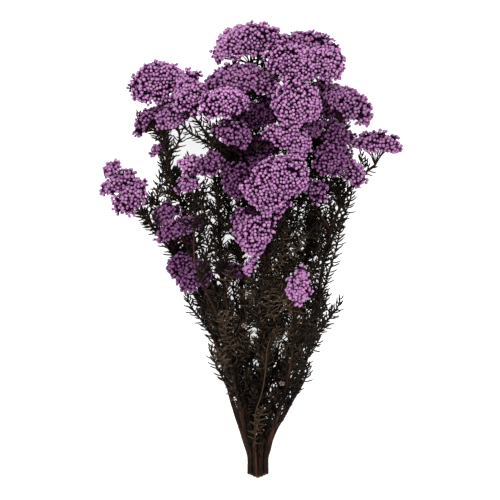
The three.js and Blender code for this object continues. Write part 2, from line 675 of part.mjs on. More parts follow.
// A dome raised into buds: one low pyramid for each bud, with valleys between, and a plain back
function domeSolid(d) {
  const spots = budSpots(d);
  const bottom = spots.length;
  const round = spots.map(({ polar, turn }) => new THREE.Vector3().setFromSphericalCoords(1, polar, turn));
  round.push(new THREE.Vector3(0, -1, 0));
  const faces = joinSpots(round);
  const points = [...spots.map((spot) => budTip(d, spot)), underside(d)];
  const valleys = faces.map((corners) => {
    if (corners.includes(bottom)) return -1;
    const mean = corners.reduce((sum, c) => sum.add(round[c]), new THREE.Vector3());
    const spot = new THREE.Spherical().setFromVector3(mean);
    return points.push(domePoint(d, spot.phi, spot.theta, -BUD_DIP)) - 1;
  });
  const owner = new Map();
  faces.forEach((corners, f) => corners.forEach((a, k) => owner.set(`${a}_${corners[(k + 1) % 3]}`, f)));
  const triangles = [];
  faces.forEach((corners, f) => {
    if (valleys[f] < 0) {
      triangles.push(corners);
      return;
    }
    corners.forEach((a, k) => {
      const b = corners[(k + 1) % 3];
      const across = valleys[owner.get(`${b}_${a}`)];
      if (across < 0) triangles.push([a, b, valleys[f]]);
      else if (a < b) triangles.push([a, across, valleys[f]], [b, valleys[f], across]);
    });
  });
  return solid(points, triangles);
}

// A closed solid from points and triangles
function solid(points, triangles) {
  const vertProperties = new Float32Array(points.flat());
  const triVerts = new Uint32Array(triangles.flat());
  return new wasm.Manifold(new wasm.Mesh({ numProp: 3, vertProperties, triVerts }));
}

// The block below the surface that the bunch lies on
function groundSolid() {
  const box = new THREE.BoxGeometry(600, 700, 40).translate(0, 0, -20);
  box.deleteAttribute('normal');
  box.deleteAttribute('uv');
  const merged = mergeVertices(box);
  return new wasm.Manifold(new wasm.Mesh({
    numProp: 3,
    vertProperties: new Float32Array(merged.getAttribute('position').array),
    triVerts: new Uint32Array(merged.getIndex().array),
  }));
}

// Bodies fused into one and cut flat where they meet the surface, without loose scraps, and with
// any hollow that the fusing sealed filled
function fuse(bodies, ground) {
  const whole = bodies.reduce((sum, body) => sum.add(body)).subtract(ground).simplify(SIMPLIFY);
  return whole.decompose().reduce((best, part) => (part.volume() > best.volume() ? part : best));
}

function toMesh(name, body, color, roughness) {
  const { vertProperties, triVerts } = body.getMesh();
  const geometry = new THREE.BufferGeometry();
  geometry.setAttribute('position', new THREE.BufferAttribute(new Float32Array(vertProperties), 3));
  geometry.setIndex(new THREE.BufferAttribute(new Uint32Array(triVerts), 1));
  geometry.computeVertexNormals();
  const mesh = new THREE.Mesh(geometry, new THREE.MeshStandardMaterial({ color, roughness, metalness: 0 }));
  mesh.name = name;
  return mesh;
}

spreadHeads();
const lines = layLines();
spreadLines(lines);

const ground = groundSolid();
const pieces = piecesOf(lines);
const ovals = HEADS.flatMap(({ domes }) => domes.map(ovalOf));
const placed = [];
const random = seededRandom(20);

const bunch = new THREE.Group();
STEMS.forEach(({ name }, stem) => {
  const own = lines.filter((line) => line.stem === stem);
  const bodies = own.map((line) => lineSolid(line, placed, pieces, ovals, random));
  bunch.add(toMesh(name, fuse(bodies, ground), BARK[stem % 2], 0.85));
});
HEADS.forEach(({ name, domes }, head) => {
  bunch.add(toMesh(name, fuse(domes.map(domeSolid), ground), PURPLE[head % 2], 0.7));
});

export default bunch;
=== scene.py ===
"""A lying bunch of dried rice flower, dyed purple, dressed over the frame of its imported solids.

The bunch is laid out by the same rules as its solids, from the same table of stems and heads, and
every solid is then replaced by a finer piece of the same form: heads of single papery buds on fine
stalks, and woody stems with all their needle leaves. Layout lengths are in millimetres.
"""

import json
import logging
import math
from dataclasses import dataclass, field, replace
from enum import Enum

import bpy
import numpy as np
from bpy.types import Material, Node, NodeSocket, NodeTree, Object
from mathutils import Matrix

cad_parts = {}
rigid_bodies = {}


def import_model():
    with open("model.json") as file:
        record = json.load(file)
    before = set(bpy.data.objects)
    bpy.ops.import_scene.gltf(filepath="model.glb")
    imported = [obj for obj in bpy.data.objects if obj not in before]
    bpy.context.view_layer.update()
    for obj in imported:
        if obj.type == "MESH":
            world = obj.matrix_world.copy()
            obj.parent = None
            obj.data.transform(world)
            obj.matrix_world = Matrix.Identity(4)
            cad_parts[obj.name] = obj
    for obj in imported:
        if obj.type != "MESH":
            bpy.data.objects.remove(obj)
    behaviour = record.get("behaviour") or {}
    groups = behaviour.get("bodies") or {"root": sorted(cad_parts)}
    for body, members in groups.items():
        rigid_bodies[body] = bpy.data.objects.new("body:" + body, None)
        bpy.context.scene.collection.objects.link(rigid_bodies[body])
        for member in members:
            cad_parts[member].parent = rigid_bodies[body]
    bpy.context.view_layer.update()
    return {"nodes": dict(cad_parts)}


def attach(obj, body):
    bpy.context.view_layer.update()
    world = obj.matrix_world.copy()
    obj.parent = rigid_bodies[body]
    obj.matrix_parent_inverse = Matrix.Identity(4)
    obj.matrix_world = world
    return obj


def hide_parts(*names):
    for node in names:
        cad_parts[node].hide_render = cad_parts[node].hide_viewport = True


Array = np.ndarray
Draw = np.random.Generator

LOG = logging.getLogger("bunch")
MM = 0.001
UP = np.array([0.0, 0.0, 1.0])
ALONG = np.array([0.0, 1.0, 0.0])
GOLDEN_ANGLE = math.pi * (3 - math.sqrt(5))
# how far up a way may point and still be crossed with the upright
STEEP = 0.9
STEM_SEED = 100
HEAD_SEED = 500


# Small helpers on numbers, points and ways


def rounded(value: float) -> int:
    """The nearest whole number, halves upward."""
    return math.floor(value + 0.5)


def unit(ways: Array) -> Array:
    """Ways of length 1 along the last axis; a way of no length stays as it is."""
    length = np.linalg.norm(ways, axis=-1, keepdims=True)
    return ways / np.where(length > 0, length, 1.0)


def mix(a: Array, b: Array, share: float | Array) -> Array:
    """The point or value at a share of the way from a to b."""
    return a * (1 - share) + b * share


def smooth(value: Array) -> Array:
    """A soft step from 0 to 1 for values from 0 to 1."""
    held = np.clip(value, 0.0, 1.0)
    return held * held * (3 - 2 * held)


def towards(first: Array, second: Array, angle: Array) -> Array:
    """The ways at angles from a first way towards a second one."""
    return np.cos(angle)[..., None] * first + np.sin(angle)[..., None] * second


def cross_ways(ways: Array) -> tuple[Array, Array]:
    """Finds two ways at right angles to each way and to each other.

    Args:
        ways: Ways of length 1.

    Returns:
        The first and the second way for each.
    """
    helper = np.where(np.abs(ways[:, 2:]) < STEEP, UP, np.array([1.0, 0.0, 0.0]))
    side = unit(np.cross(ways, helper))
    return side, np.cross(ways, side)


# The plan of the bunch, as its solids have it


class LineKind(Enum):
    """The kinds of woody line."""

    STEM = "stem"
    BRANCH = "branch"
    SHOOT = "shoot"
    TWIG = "twig"


class Leafing(Enum):
    """What leaves a line bears."""

    FULL = "full"
    DEAD = "dead"
    NONE = "none"


@dataclass(frozen=True)
class LineSize:
    """Radius at the root and the tip of a kind of line, and the step between its points, in mm."""

    root: float
    tip: float
    step: float


LINE_SIZES = {
    LineKind.STEM: LineSize(2.55, 1.35, 15.0),
    LineKind.BRANCH: LineSize(1.4, 0.95, 9.0),
    LineKind.SHOOT: LineSize(1.2, 0.8, 9.0),
    LineKind.TWIG: LineSize(0.75, 0.45, 6.0),
}


@dataclass(frozen=True)
class EndSizes:
    """The gathered cut ends: stems side by side in three rows, like logs, in mm."""

    x: float = 9.5
    y: float = -229.0
    pitch: float = 5.55
    rise: float = 4.85
    low: float = LINE_SIZES[LineKind.STEM].root * math.cos(math.pi / 6) + 0.02
    straight: float = 20.0
    bend: float = 4.0


@dataclass(frozen=True)
class HeadSizes:
    """What all flower heads share, in mm and shares: outline, clusters, back, hub and seats."""

    waves: tuple[tuple[int, float], ...] = ((2, 0.09), (3, 0.06), (5, 0.04))
    swell: float = 0.12
    phase_step: float = 2.4
    domed: float = 1.45
    cluster_cell: float = 68.0
    fewest: int = 9
    lift: float = 1.7
    rim: float = math.radians(104)
    back: float = 0.85
    back_gap: float = 2.0
    hub_drop: float = 0.55
    widest_hub: float = 22.0
    stalks: int = 4
    stalk_spread: float = 0.45
    stalk_gap: float = 1.5
    stalk_radius: float = 0.6
    rest_cut: float = 0.8
    branch_for_dome: float = 16.0
    oval_back: float = 0.16
    oval_wide: float = 1.06
    oval_high: float = 0.68


@dataclass(frozen=True)
class BranchSizes:
    """Where a branch or shoot leaves its stem, in mm, and how it bends, in shares of its span."""

    farthest: float = 90.0
    drop: float = 1.1
    least_drop: float = 34.0
    most_drop: float = 110.0
    first_joint: int = 3
    last_joint: int = 2
    fewest_steps: int = 3
    leaving: float = 0.3
    arriving: float = 0.35
    shoot_arriving: float = 0.25


@dataclass(frozen=True)
class FineSizes:
    """The thin leafy shoots and loose twigs, laid after the rest, in mm and shares of a span."""

    search: int = 40
    ends: int = 2
    below: float = 24.0
    lowest: float = -170.0
    rise: float = 4.0
    bend: float = 0.3
    step: float = 8.0
    fewest: int = 4
    loose_steps: int = 16


@dataclass(frozen=True)
class Clearances:
    """The gaps between pieces, in mm, and the rounds in which they move apart."""

    gap: float = 0.6
    line_gap: float = 0.85
    head_margin: float = 0.6
    tip_margin: float = 1.0
    floor_gap: float = 0.3
    head_rounds: int = 300
    line_rounds: int = 260
    near_rounds: int = 10
    push: float = 0.3
    level: float = 0.25
    pull: float = 0.9
    late: float = 0.7
    early_ease: float = 0.25
    late_ease: float = 0.04
    far_heads: float = 80.0
    far_lines: float = 26.0
    far_from_head: float = 52.0
    probes: tuple[float, ...] = (0.0, 0.25, 0.5, 0.75)
    deepest: float = 0.2
    hardest: float = 0.4
    own_pieces: int = 4
    parallel: float = 1e-9


END = EndSizes()
HEAD = HeadSizes()
BRANCH = BranchSizes()
FINE = FineSizes()
CLEAR = Clearances()


@dataclass
class Dome:
    """One dome of buds.

    x, y and z are its middle, across and along the half-widths of its oval rim, and rise its
    height. lean turns it clockwise from +Y seen from above, and tilt turns it up to +Z.
    """

    x: float
    y: float
    z: float
    across: float
    along: float
    rise: float
    lean: float
    tilt: float
    phase: float = 0.0
    middle: Array = field(init=False)
    axis: Array = field(init=False)
    side: Array = field(init=False)
    fore: Array = field(init=False)

    def __post_init__(self) -> None:
        """Works out the ways of the dome from its lean and tilt."""
        turn, lift = math.radians(self.lean), math.radians(self.tilt)
        level = math.cos(lift)
        self.middle = np.array([self.x, self.y, self.z], dtype=float)
        self.axis = np.array([math.sin(turn) * level, math.cos(turn) * level, math.sin(lift)])
        self.side = np.array([math.cos(turn), -math.sin(turn), 0.0])
        self.fore = np.cross(self.axis, self.side)

    def point(self, polar: Array, turn: Array, lift: Array | float) -> Array:
        """Points on the uneven outer form.

        Args:
            polar: Angles from the dome's axis.
            turn: Angles round the axis.
            lift: Height above the form, in mm.

        Returns:
            One point for each angle.
        """
        wave = 1.0
        for order, (count, height) in enumerate(HEAD.waves, 1):
            wave = wave + height * np.cos(count * turn + order * self.phase)
        swell = 1 + HEAD.swell * np.sin(2 * turn + self.phase) * np.sin(polar)
        up = (self.rise + lift) * np.cos(polar) * swell
        aside = (self.across + lift) * np.sin(polar) * wave * np.cos(turn)
        ahead = (self.along + lift) * np.sin(polar) * wave * np.sin(turn)
        base = self.middle - self.axis * self.rise / 2
        parts = zip((up, aside, ahead), (self.axis, self.side, self.fore))
        return base + sum(np.asarray(size)[..., None] * way for size, way in parts)

    def back(self, share: float) -> Array:
        """The point at a share of the way from the dome's base to its underside."""
        return mix(self.middle - self.axis * self.rise / 2, self.underside(), share)

    def underside(self) -> Array:
        """The lowest point of the dome's back."""
        return self.middle - self.axis * (self.rise * HEAD.back + HEAD.back_gap)

    def hub(self) -> Array:
        """The place below the back where the stalks meet."""
        drop = HEAD.hub_drop * min(self.across, HEAD.widest_hub) + HEAD.back_gap
        return self.underside() - self.axis * drop

    def area(self) -> float:
        """The area of the domed outer form, in square mm."""
        return HEAD.domed * math.pi * self.across * self.along

    def cluster_spots(self) -> tuple[Array, Array]:
        """Spreads the clusters of buds by the golden angle.

        Returns:
            Their polar angles and turns.
        """
        count = max(HEAD.fewest, rounded(self.area() / HEAD.cluster_cell))
        order = np.arange(count)
        polar = np.arccos(1 - (order + 0.5) / count * (1 - math.cos(HEAD.rim)))
        return polar, order * GOLDEN_ANGLE + self.phase

    def lowest(self) -> float:
        """The height of the dome's lowest cluster."""
        polar, turn = self.cluster_spots()
        return float(self.point(polar, turn, HEAD.lift)[:, 2].min())

    def oval_centre(self) -> Array:
        """The middle of the plain oval body that others keep clear of."""
        return self.middle - self.axis * self.rise * HEAD.oval_back

    def oval_half(self) -> Array:
        """The half-widths of that body along side, fore and axis."""
        wide, high = HEAD.oval_wide, HEAD.oval_high
        return np.array([self.across * wide, self.along * wide, self.rise * high]) + HEAD.lift

    def ways(self) -> Array:
        """Side, fore and axis as rows."""
        return np.array([self.side, self.fore, self.axis])


@dataclass
class StemPlan:
    """One stem: its place in the cut end, its way, its heads and its shoots without flowers."""

    name: str
    column: float
    row: int
    back: float
    via: list[list[float]]
    heads: dict[str, list[Dome]]
    shoots: list[list]


STEMS = [
    StemPlan(
        "leafy_stem_left", column=-1, row=1, back=4,
        via=[[-1, -180, 18], [-14, -130, 22], [-32, -68, 27], [-59, -14, 36], [-80, 56, 60],
             [-88, 101, 68]],
        heads={
            "head_left_big": [Dome(-87, 172, 82, 26, 21, 15, -35, 38)],
            "head_left_back": [Dome(-103, 133, 62, 16, 15, 11, -50, -5)],
            "head_left_third": [Dome(-80, 137, 76, 15, 15, 12, -25, 30)],
            "head_left_tuft": [Dome(-92, 104, 50, 9, 8, 7, -30, 5)],
        },
        shoots=[[-130, [-28, -74, 24]], [-75, [-66, 8, 26]], [30, [-92, 76, 78]]],
    ),
    StemPlan(
        "leafy_stem_outer_left", column=-1.5, row=0, back=9,
        via=[[-4, -190, 10], [-16, -152, 16], [-26, -112, 22], [-42, -62, 26], [-67, -8, 36],
             [-92, 30, 52]],
        heads={
            "head_outer_left": [
                Dome(-120, 57, 70, 18, 16, 12, -45, 45),
                Dome(-132, 71, 62, 20, 12, 9, -34, 38),
            ],
            "head_outer_inner": [Dome(-84, 39, 58, 14, 12, 10, -30, 20)],
            "head_wing_left": [Dome(-70, 27, 74, 23, 12, 9, -20, 30)],
            "head_wing_small": [Dome(-60, 12, 50, 9, 8, 6, 20, 0)],
        },
        shoots=[[-150, [-38, -96, 14]], [-95, [-62, -44, 22]], [-30, [-90, 60, 46]]],
    ),
    StemPlan(
        "leafy_stem_low_left", column=-1.5, row=2, back=7,
        via=[[-12, -140, 40], [-33, -67, 74], [-48, -39, 88], [-60, -12, 94], [-64, 24, 89],
             [-59, 58, 80]],
        heads={
            "head_left_small": [Dome(-56, 88, 88, 11, 10, 8, 15, 45)],
            "head_left_lower": [Dome(-62, 68, 82, 10, 9, 7, -30, 45)],
            "head_low_left": [
                Dome(-49, -19, 62, 18, 18, 12, -15, 44),
                Dome(-66, -11, 61, 13, 11, 9, -38, 38),
                Dome(-59, -30, 62, 11, 10, 8, -100, 36),
            ],
            "head_low_inner": [Dome(-25, -18, 60, 14, 11, 9, 20, 10)],
        },
        shoots=[[-150, [-24, -92, 52]], [-90, [-48, -58, 52]], [-40, [-34, 22, 78]]],
    ),
    StemPlan(
        "leafy_stem_mid_left", column=-0.5, row=2, back=2,
        via=[[-5, -150, 32], [-14, -100, 46], [-22, -32, 64], [-30, 46, 86], [-36, 95, 98]],
        heads={
            "head_front_left": [Dome(-28, 151, 120, 21, 17, 13, -15, 56)],
            "head_left_second": [
                Dome(-61, 160, 98, 17, 18, 13, -5, 45),
                Dome(-62, 175, 87, 10, 10, 10, 0, 36),
            ],
            "head_left_bright": [Dome(-14, 119, 112, 18, 12, 10, 10, 60)],
            "head_inner_far_left": [Dome(-36, 88, 98, 12, 12, 9, -35, 40)],
        },
        shoots=[[-140, [-12, -66, 62]], [-60, [-32, -2, 84]], [0, [-46, 48, 96]]],
    ),
    StemPlan(
        "leafy_stem_top_left", column=-0.5, row=0, back=12,
        via=[[2, -150, 18], [-4, -100, 26], [-6, -40, 40], [-6, 62, 57], [0, 140, 68]],
        heads={
            "head_top_left": [
                Dome(2, 214, 78, 31, 22, 19, -6, 28),
                Dome(-27, 197, 77, 9, 10, 9, -60, 12),
            ],
            "head_shoulder_left": [
                Dome(-16, 176, 88, 28, 18, 14, -10, 38),
                Dome(14, 173, 88, 17, 13, 10, 20, 42),
            ],
            "head_inner_left": [Dome(-12, 75, 112, 17, 18, 12, -30, 55)],
            "head_deep_top": [Dome(8, 139, 84, 23, 18, 12, 0, 34)],
        },
        shoots=[[-160, [4, -94, 40]], [-90, [-16, -32, 36]], [-10, [-22, 50, 60]],
                [50, [-34, 122, 52]]],
    ),
    StemPlan(
        "leafy_stem_top", column=0, row=1, back=10,
        via=[[14, -150, 24], [20, -100, 34], [28, -40, 50], [38, 60, 68], [42, 130, 84]],
        heads={
            "head_top_right": [
                Dome(45, 190, 98, 27, 22, 15, 6, 48),
                Dome(78, 189, 92, 21, 20, 14, 35, 40),
            ],
            "head_top_back": [Dome(57, 212, 58, 27, 17, 14, 5, 20)],
            "head_front_top": [Dome(48, 148, 126, 26, 20, 14, 10, 72)],
            "head_deep_middle": [Dome(10, 107, 80, 22, 16, 12, 5, 38)],
        },
        shoots=[[-150, [30, -94, 44]], [-80, [44, -6, 70]], [-20, [52, 52, 54]]],
    ),
    StemPlan(
        "leafy_stem_top_right", column=1, row=1, back=6,
        via=[[22, -170, 20], [36, -120, 28], [51, -45, 44], [70, 50, 58], [80, 106, 60]],
        heads={
            "head_shoulder_right": [Dome(100, 154, 86, 26, 18, 14, 30, 34)],
            "head_inner_right": [Dome(66, 127, 96, 15, 13, 10, 40, 35)],
            "head_behind_right": [Dome(84, 147, 66, 19, 17, 12, 26, 30)],
            "head_side_right": [Dome(92, 119, 83, 15, 13, 10, 50, 26)],
            "head_tuft_right": [Dome(103, 116, 60, 7, 8, 7, 40, 10)],
        },
        shoots=[[-150, [54, -78, 22]], [-60, [72, 2, 72]], [0, [62, 74, 44]]],
    ),
    StemPlan(
        "leafy_stem_right", column=1.5, row=0, back=11,
        via=[[23, -186, 14], [38, -160, 17], [49, -136, 22], [64, -84, 32], [80, 10, 52],
             [104, 66, 62]],
        heads={
            "head_far_right": [Dome(124, 112, 70, 22, 11, 12, 4, 20)],
            "head_low_right": [Dome(84, 96, 102, 17, 17, 12, 25, 50)],
            "head_edge_right": [Dome(108, 80, 82, 13, 12, 11, 60, 35)],
            "head_small_right": [Dome(68, 63, 88, 11, 11, 9, 20, 50)],
        },
        shoots=[[-165, [60, -116, 14]], [-96, [84, -58, 46]], [-70, [92, 26, 34]],
                [-20, [104, 62, 42]]],
    ),
    StemPlan(
        "leafy_stem_front", column=0.5, row=2, back=0,
        via=[[13, -150, 32], [14, -100, 50], [16, -50, 76], [22, 10, 104]],
        heads={
            "head_centre": [
                Dome(30, 66, 136, 28, 18, 13, 20, 80),
                Dome(12, 42, 131, 22, 14, 10, 205, 66),
            ],
            "head_centre_low": [Dome(8, 23, 128, 16, 20, 12, 215, 66)],
            "head_centre_side": [Dome(-11, 27, 106, 14, 8, 8, -80, 30)],
            "head_front_middle": [
                Dome(41, 115, 122, 23, 12, 10, 12, 62),
                Dome(49, 103, 121, 10, 8, 8, 10, 62),
            ],
            "head_deep_low": [Dome(14, 88, 98, 14, 9, 8, 10, 50)],
        },
        shoots=[[-150, [22, -84, 72]], [-100, [6, -42, 88]], [-70, [38, -2, 96]],
                [-40, [50, 30, 98]]],
    ),
    StemPlan(
        "leafy_stem_low_right", column=1.5, row=2, back=8,
        via=[[24, -182, 24], [34, -150, 36], [44, -105, 70]],
        heads={
            "head_low_front": [
                Dome(50, -38, 118, 13, 15, 9, 10, 70),
                Dome(53, -23, 115, 8, 8, 7, 0, 60),
            ],
            "head_low_small": [Dome(0, -12, 114, 12, 7, 6, -60, 50)],
        },
        shoots=[[-160, [54, -104, 40]], [-112, [92, -47, 78]], [-120, [71, -84, 92]]],
    ),
    StemPlan(
        "leafy_stem_under", column=0.5, row=0, back=14,
        via=[[12, -150, 12], [16, -100, 16], [16, -20, 20], [14, 70, 26]],
        heads={
            "head_under_top": [Dome(-8, 170, 32, 20, 17, 13, -5, -35)],
            "head_under_left": [Dome(-78, 146, 22, 21, 18, 13, -30, -45)],
            "head_under_right": [Dome(52, 150, 21, 21, 18, 13, 15, -50)],
            "head_under_middle": [Dome(-12, 100, 26, 20, 17, 13, 0, -60)],
            "head_under_edge": [Dome(88, 106, 27, 19, 16, 12, 40, -40)],
        },
        shoots=[[-150, [-8, -92, 10]], [-100, [32, -30, 12]], [-60, [-18, 10, 12]],
                [-20, [46, 56, 14]]],
    ),
]

# the heads of the underside, which carry the bunch
RESTING = {
    "head_under_left", "head_under_right", "head_under_middle", "head_under_edge",
    "head_under_top"}

# the tips of thin leafy shoots, in mm
FINE_SHOOTS = [
    (11, 195, 62), (-43, 136, 58), (-88, 94, 34), (72, 30, 50), (-46, 26, 44), (54, 26, 40),
    (47, 10, 56), (-94, 124, 40), (-98, 58, 30), (-50, 84, 52), (114, 98, 58), (37, -64, 50),
    (59, 94, 56), (-2, -26, 74), (29, 180, 50), (-42, 72, 60), (99, 132, 56), (66, 14, 46),
    (2, -58, 60), (-86, 86, 30), (-46, 90, 40), (50, 0, 50), (36, -72, 60), (-96, 130, 34),
    (54, -58, 40), (5, 195, 56), (17, 190, 60), (118, 92, 52), (96, 134, 40), (-30, 50, 60),
    (-110, 140, 40)]


@dataclass(frozen=True)
class LooseTwig:
    """An old twig that lies on top of the bunch: its stem's number, its leaves and its path."""

    stem: int
    leafing: Leafing
    via: list[tuple[float, float, float]]


LOOSE_TWIGS = [
    LooseTwig(8, Leafing.NONE, [
        (6, -192, 19), (6.5, -169, 37), (8, -159, 45), (11.5, -149, 52), (15, -135, 60),
        (17.5, -114, 70), (18.5, -99, 74), (22.5, -86, 78)]),
    LooseTwig(8, Leafing.DEAD, [(5, -198, 19), (7, -186, 26), (9, -172, 36), (14, -156, 48)]),
    LooseTwig(8, Leafing.DEAD, [(-14, -100, 62), (-22, -88, 70), (-24, -74, 76), (-30, -62, 80)]),
    LooseTwig(8, Leafing.DEAD, [(26, -70, 78), (20, -52, 86), (24, -36, 90), (30, -24, 92)])]


# how much painted shade each head gets, as judged: heads deep in the bunch are darkened as if in
# shadow, and a few at the front lightened as if lit; 1 on the heads that aren't named
HEAD_SHADE = {
    "head_top_left": 0.95, "head_top_back": 0.85, "head_front_left": 1.06,
    "head_shoulder_left": 0.8, "head_left_bright": 0.62, "head_left_big": 1.0,
    "head_left_second": 0.95, "head_left_back": 0.6, "head_left_third": 0.84,
    "head_left_tuft": 0.8, "head_inner_far_left": 0.5, "head_inner_left": 0.34,
    "head_deep_top": 0.23, "head_deep_middle": 0.25, "head_deep_low": 0.3,
    "head_shoulder_right": 0.76, "head_behind_right": 0.36, "head_side_right": 0.44,
    "head_tuft_right": 0.52, "head_inner_right": 0.46, "head_far_right": 0.86,
    "head_low_right": 0.5, "head_edge_right": 0.84, "head_small_right": 0.84,
    "head_centre_low": 0.95, "head_centre_side": 0.84, "head_front_middle": 0.96,
    "head_outer_left": 0.92, "head_outer_inner": 0.6, "head_wing_left": 0.52,
    "head_wing_small": 0.55, "head_low_left": 0.46, "head_low_inner": 0.46,
    "head_left_lower": 0.9, "head_under_left": 0.7, "head_under_right": 0.7,
    "head_under_middle": 0.65, "head_under_edge": 0.75, "head_under_top": 0.7,
}


# small clusters of buds beside the domes of a head
SIDE_CLUSTERS = {
    "head_outer_left": [Dome(-139, 84, 66, 10, 8, 7, -50, 30, 0.9)],
    "head_left_big": [Dome(-102, 179, 78, 11, 10, 8, -55, 35, 0.4)],
    "head_deep_top": [Dome(20, 151, 70, 9, 8, 7, 10, 60, 0.7)],
    "head_shoulder_right": [Dome(75, 167, 70, 9, 8, 7, 0, 70, 1.3)],
    "head_deep_low": [Dome(3, 38, 88, 8, 8, 6, 0, 60, 2.1)],
}


@dataclass
class Head:
    """A flower head: its name, the number of its stem, and its domes."""

    name: str
    stem: int
    domes: list[Dome]

    def dye(self) -> float:
        """How much painted shade the head gets: heads deep in the bunch are darkened as if in
        shadow.
        """
        return HEAD_SHADE.get(self.name, 1.0)


class SmoothLine:
    """A smooth curve, measured along its length in short steps."""

    STEPS = 200
    REACH = 0.01
    LEAST_GAP = 1e-16

    def __init__(self, samples: Array) -> None:
        """Keeps the samples and the length up to each.

        Args:
            samples: Points at even shares of the curve's own parameter.
        """
        self.samples = samples
        steps = np.linalg.norm(np.diff(samples, axis=0), axis=1)
        self.reached = np.concatenate([[0.0], np.cumsum(steps)])
        self.length = float(self.reached[-1])

    @classmethod
    def shares(cls) -> Array:
        """The even shares at which a curve is sampled."""
        return np.linspace(0.0, 1.0, cls.STEPS + 1)

    @classmethod
    def through(cls, points: Array) -> "SmoothLine":
        """A centripetal spline through points.

        Args:
            points: The points, in order.

        Returns:
            The measured curve.
        """
        points = np.asarray(points, dtype=float)
        before = 2 * points[:1] - points[1:2]
        after = 2 * points[-1:] - points[-2:-1]
        held = np.vstack([before, points, after])
        return cls(np.array([cls._spline(held, share) for share in cls.shares()]))

    @classmethod
    def _spline(cls, held: Array, share: float) -> Array:
        """Works out one point of the spline.

        Args:
            held: The points it runs through, with one more at each end.
            share: How far along it the point is.

        Returns:
            The point.
        """
        place = (len(held) - 3) * share
        at = min(int(place), len(held) - 4)
        local = place - at
        x0, x1, x2, x3 = held[at:at + 4]
        pairs = ((x0, x1), (x1, x2), (x2, x3))
        d0, d1, d2 = [max(np.dot(b - a, b - a), cls.LEAST_GAP) ** 0.25 for a, b in pairs]
        t1 = ((x1 - x0) / d0 - (x2 - x0) / (d0 + d1) + (x2 - x1) / d1) * d1
        t2 = ((x2 - x1) / d1 - (x3 - x1) / (d1 + d2) + (x3 - x2) / d2) * d1
        second = -3 * x1 + 3 * x2 - 2 * t1 - t2
        third = 2 * x1 - 2 * x2 + t1 + t2
        return x1 + t1 * local + second * local**2 + third * local**3

    @classmethod
    def bent(cls, a: Array, b: Array, c: Array, d: Array) -> "SmoothLine":
        """A cubic curve from a to d, pulled towards b and c."""
        t = cls.shares()[:, None]
        return cls(a * (1 - t) ** 3 + 3 * b * t * (1 - t) ** 2 + 3 * c * t**2 * (1 - t) + d * t**3)

    def at(self, distances: Array) -> Array:
        """Points at distances along the curve.

        Args:
            distances: Lengths from the start, in mm.

        Returns:
            One point for each distance.
        """
        place = np.interp(distances, self.reached, np.arange(len(self.samples)))
        low = np.minimum(place.astype(int), len(self.samples) - 2)
        part = (place - low)[:, None]
        return mix(self.samples[low], self.samples[low + 1], part)

    def spaced(self, count: int) -> Array:
        """The ends and the points between, count even steps apart."""
        return self.at(np.linspace(0.0, self.length, count + 1))

    def ways(self, distances: Array) -> Array:
        """Finds the ways that the curve runs.

        Args:
            distances: Lengths from the start, in mm.

        Returns:
            One way of length 1 for each distance.
        """
        reach = self.REACH * self.length
        ahead = np.minimum(distances + reach, self.length)
        behind = np.maximum(distances - reach, 0.0)
        return unit(self.at(ahead) - self.at(behind))


@dataclass
class WoodyLine:
    """A stem, branch or shoot as a row of points."""

    kind: LineKind
    stem: int
    points: Array
    pinned: int
    dome: Dome | None = None
    parent: "WoodyLine | None" = None
    at: int = 0
    leafing: Leafing = Leafing.FULL

    def size(self) -> LineSize:
        """The sizes of this kind of line."""
        return LINE_SIZES[self.kind]

    def radius(self, share: float | Array) -> float | Array:
        """The line's radius at a share of its length."""
        return self.size().root + (self.size().tip - self.size().root) * share


@dataclass
class Pieces:
    """The straight pieces of all lines, and the stalks under the heads, as arrays.

    first is the number of a piece's first point among the points of all lines. pulls holds the
    summed pushes on those points, and their weights.
    """

    line: Array
    first: Array
    stem: Array
    a: Array
    b: Array
    radius: Array
    own_dome: Array
    pulls: Array | None = None

    def shove(self, which: Array, share: Array, by: Array) -> None:
        """Adds pushes on pieces to the pulls on the two ends of each.

        Args:
            which: The pieces that are pushed.
            share: How far along each the push is.
            by: The pushes, in mm.
        """
        free = self.line[which] >= 0
        which, share, by = which[free], share[free], by[free]
        for at, weight in ((self.first[which], 1 - share), (self.first[which] + 1, share)):
            np.add.at(self.pulls, at, np.column_stack([by * weight[:, None], weight]))


